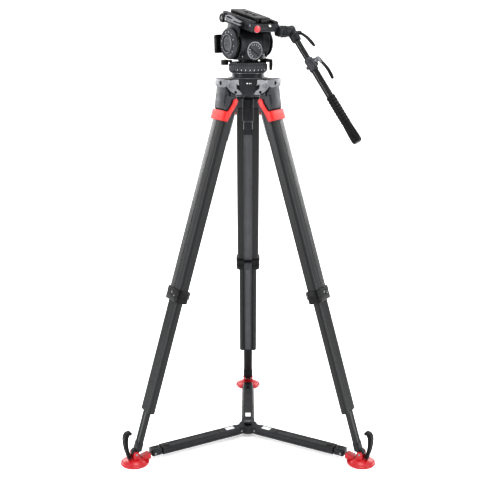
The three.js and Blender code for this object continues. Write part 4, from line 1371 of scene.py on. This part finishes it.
# the pan bar, drawn along itself: z out along the bar, x up from it
bar = {
    "radius": 9,
    "wall": 1.6,
    "tubeEnd": 215,
    "outer": 10.8,
    "clampStart": 98,
    "clampEnd": 138,
    "length": 385,
    "gripStart": 228,
    "gripRadius": 13.6,
}


def makeBarClamp():
    tiltInBar = barPlace.inverted() @ tiltPlace
    start = (tiltPlace.inverted() @ barPlace).to_translation() * 1000
    profile = [(16.2, 62.3), (17, 63.2), (17, 67), (15.4, 69), (15.4, 84), (17, 87), (17, 92), (15, 94)]
    disc = turned(profile, "x", (start.y, start.z), 120)
    screw = turned([(5.6, 93), (5.6, 96.2), (4.8, 97)], "x", (start.y, start.z), 40)
    for part in (disc, screw):
        part.data.transform(Matrix.Scale(0.001, 4))
        part.data.transform(tiltInBar)
        part.data.transform(Matrix.Scale(1000, 4))
    socket = turned([(12, 3), (13.5, 8), (13.9, 12), (13.9, 31), (13, 34)], "z", (0, 0), 80)
    neck = turned([(12, -4), (12, 12)], "z", (0, 0), 56)
    boss = turned([(6, -13.1), (6.6, -12.6), (6.6, 12.6), (6, 13.1)], "y", (10, 14), 40)
    fused(disc, neck, socket, boss)
    cut(disc, turned([(bar["radius"] + 0.3, 14), (bar["radius"] + 0.3, 40)], "z", (0, 0), 56))
    setPiece(disc, "barClamp", barPlace, "bar", finishes["cast"], ["bar_clamp"])
    setPiece(screw, "barClampScrew", barPlace, "bar", finishes["steel"])
    hub = turned([(5.4, -21), (6.2, -20.4), (6.2, -13.6), (5.6, -13.4)], "y", (10, 14), 40)
    path = [(10, -17, 14), (17, -17, 24), (24, -17.4, 40), (28, -17.8, 58), (31, -18, 76)]
    fused(hub, sweep(path, oval(4.2, 3.4), [1, 0.9, 1.0, 1.15, 1.25, 0.9]))
    setPiece(
        hub, "barClampLever", barPlace, "bar_lever", finishes["black"],
        ["bar_clamp_lever"], 45,
    )


def makeBar():
    radius, outer, tubeEnd = bar["radius"], bar["outer"], bar["tubeEnd"]
    low, high = bar["clampStart"], bar["clampEnd"]
    bore = radius - bar["wall"]
    innerProfile = [(bore, 30), (radius, 30.4), (radius, tubeEnd - 0.6), (bore, tubeEnd)]
    innerTube = ringShape(innerProfile, "z", (0, 0), 72)
    core = turned([(radius, 14.4), (radius, 31)], "z", (0, 0), 72)
    setPiece(fused(innerTube, core), "barTube", barPlace, "bar", finishes["gloss"], ["bar_tube"])
    sleeve = ringShape(
        [(9.3, low), (12, low), (13.2, low + 2), (13.2, 110), (12.8, 111), (12.8, 126), (13.2, 127),
         (13.4, 135), (12.4, high), (11.1, high), (11.1, 112.2), (9.3, 112.2)],
        "z", (0, 0), 96,
    )
    ear = slab(rounded([(11.6, 104), (20, 108), (20, 128), (11.6, 132)], 3, 5), -6, 6, "y", 1.4, 3)
    heel = turned([(3.4, -20), (5, -18.6), (5, -11.6)], "x", (0, 118), 40)
    fused(sleeve, ear, heel)
    setPiece(
        sleeve, "telescopeClamp", barPlace, "bar_end", finishes["coat"], ["telescope_clamp"]
    )
    hub = turned([(6.4, 20.5), (7, 21.2), (7, 29), (6, 31)], "x", (0, 118), 48)
    baseOutline = [(23, 112), (34, 111), (39, 124), (38, 138), (33, 136), (31, 124)]
    fused(hub, slab(rounded(baseOutline, 2.5), -4.6, 4.6, "y", 1.2))
    setPiece(hub, "telescopeLeverBase", barPlace, "telescope_lever", finishes["edge"])
    path = [(34, 0, 126), (38, 0, 140), (41.5, 0, 160), (41, 0, 180), (39, 0, 193)]
    arm = sweep(path, oval(4.4, 5), [0.8, 0.95, 1.0, 1.05, 1.1, 0.8])
    body = "telescope_lever"
    setPiece(arm, "telescopeLever", barPlace, body, finishes["black"], [body], 45)
    outerEnd = bar["length"] - 20
    outerProfile = [(9.3, 112.4), (outer - 0.6, 112.4), (outer, 113), (outer, outerEnd), (9.3, outerEnd)]
    outerTube = ringShape(outerProfile, "z", (0, 0), 72)
    setPiece(outerTube, "barExtension", barPlace, "bar_end", finishes["gloss"], ["bar_extension"])


def makeGrip():
    start, radius, length = bar["gripStart"], bar["gripRadius"], bar["length"]
    profile = [
        (bar["outer"] + 0.3, start), (radius - 1.6, start), (radius - 0.6, start + 1),
        (radius, start + 3), (radius, start + 7), (radius - 1, start + 8.4),
    ]
    for place in range(start + 12, start + 92, 10):  # raised bands round the grip
        profile += [(radius - 0.9, place), (radius, place + 1.4)]
        profile += [(radius, place + 6.6), (radius - 0.9, place + 8)]
    profile += [
        (radius + 0.2, length - 44), (radius + 1.2, length - 22), (radius + 1.4, length - 10),
        (radius + 0.6, length - 4), (radius - 2, length - 0.8), (4, length),
    ]
    grip = turned(profile, "z", (0, 0), 120, 0)
    grooves = []
    grooveOutline = rounded(rectangle(-1.1, 1.1, start + 10, length - 16), 1)
    for turn in range(12, 360, 60):  # long grooves down the grip
        grooves.append(turnedAbout(slab(grooveOutline, radius - 0.6, radius + 4, "x", 0), "z", turn))
    room = turned([(bar["outer"] + 0.2, start - 1), (bar["outer"] + 0.2, length - 19)], "z", (0, 0), 64)
    cut(grip, room, *grooves)
    setPiece(grip, "barGrip", barPlace, "bar_end", finishes["rubber"], ["bar_grip"], 40)


makePlatform()
makeCameraPlate()
makePlateLever()
makePlateKnob()
makeButton()
makeDragDisc()
makeRightCover()
makeBarClamp()
makeBar()
makeGrip()
print("platform and pan bar made")

for name in ("pan_bearing", "tilt_drag_unit"):  # inside the head
    node = frame["nodes"][name]
    node.data.materials.clear()
    node.data.materials.append(finishes["steel"])
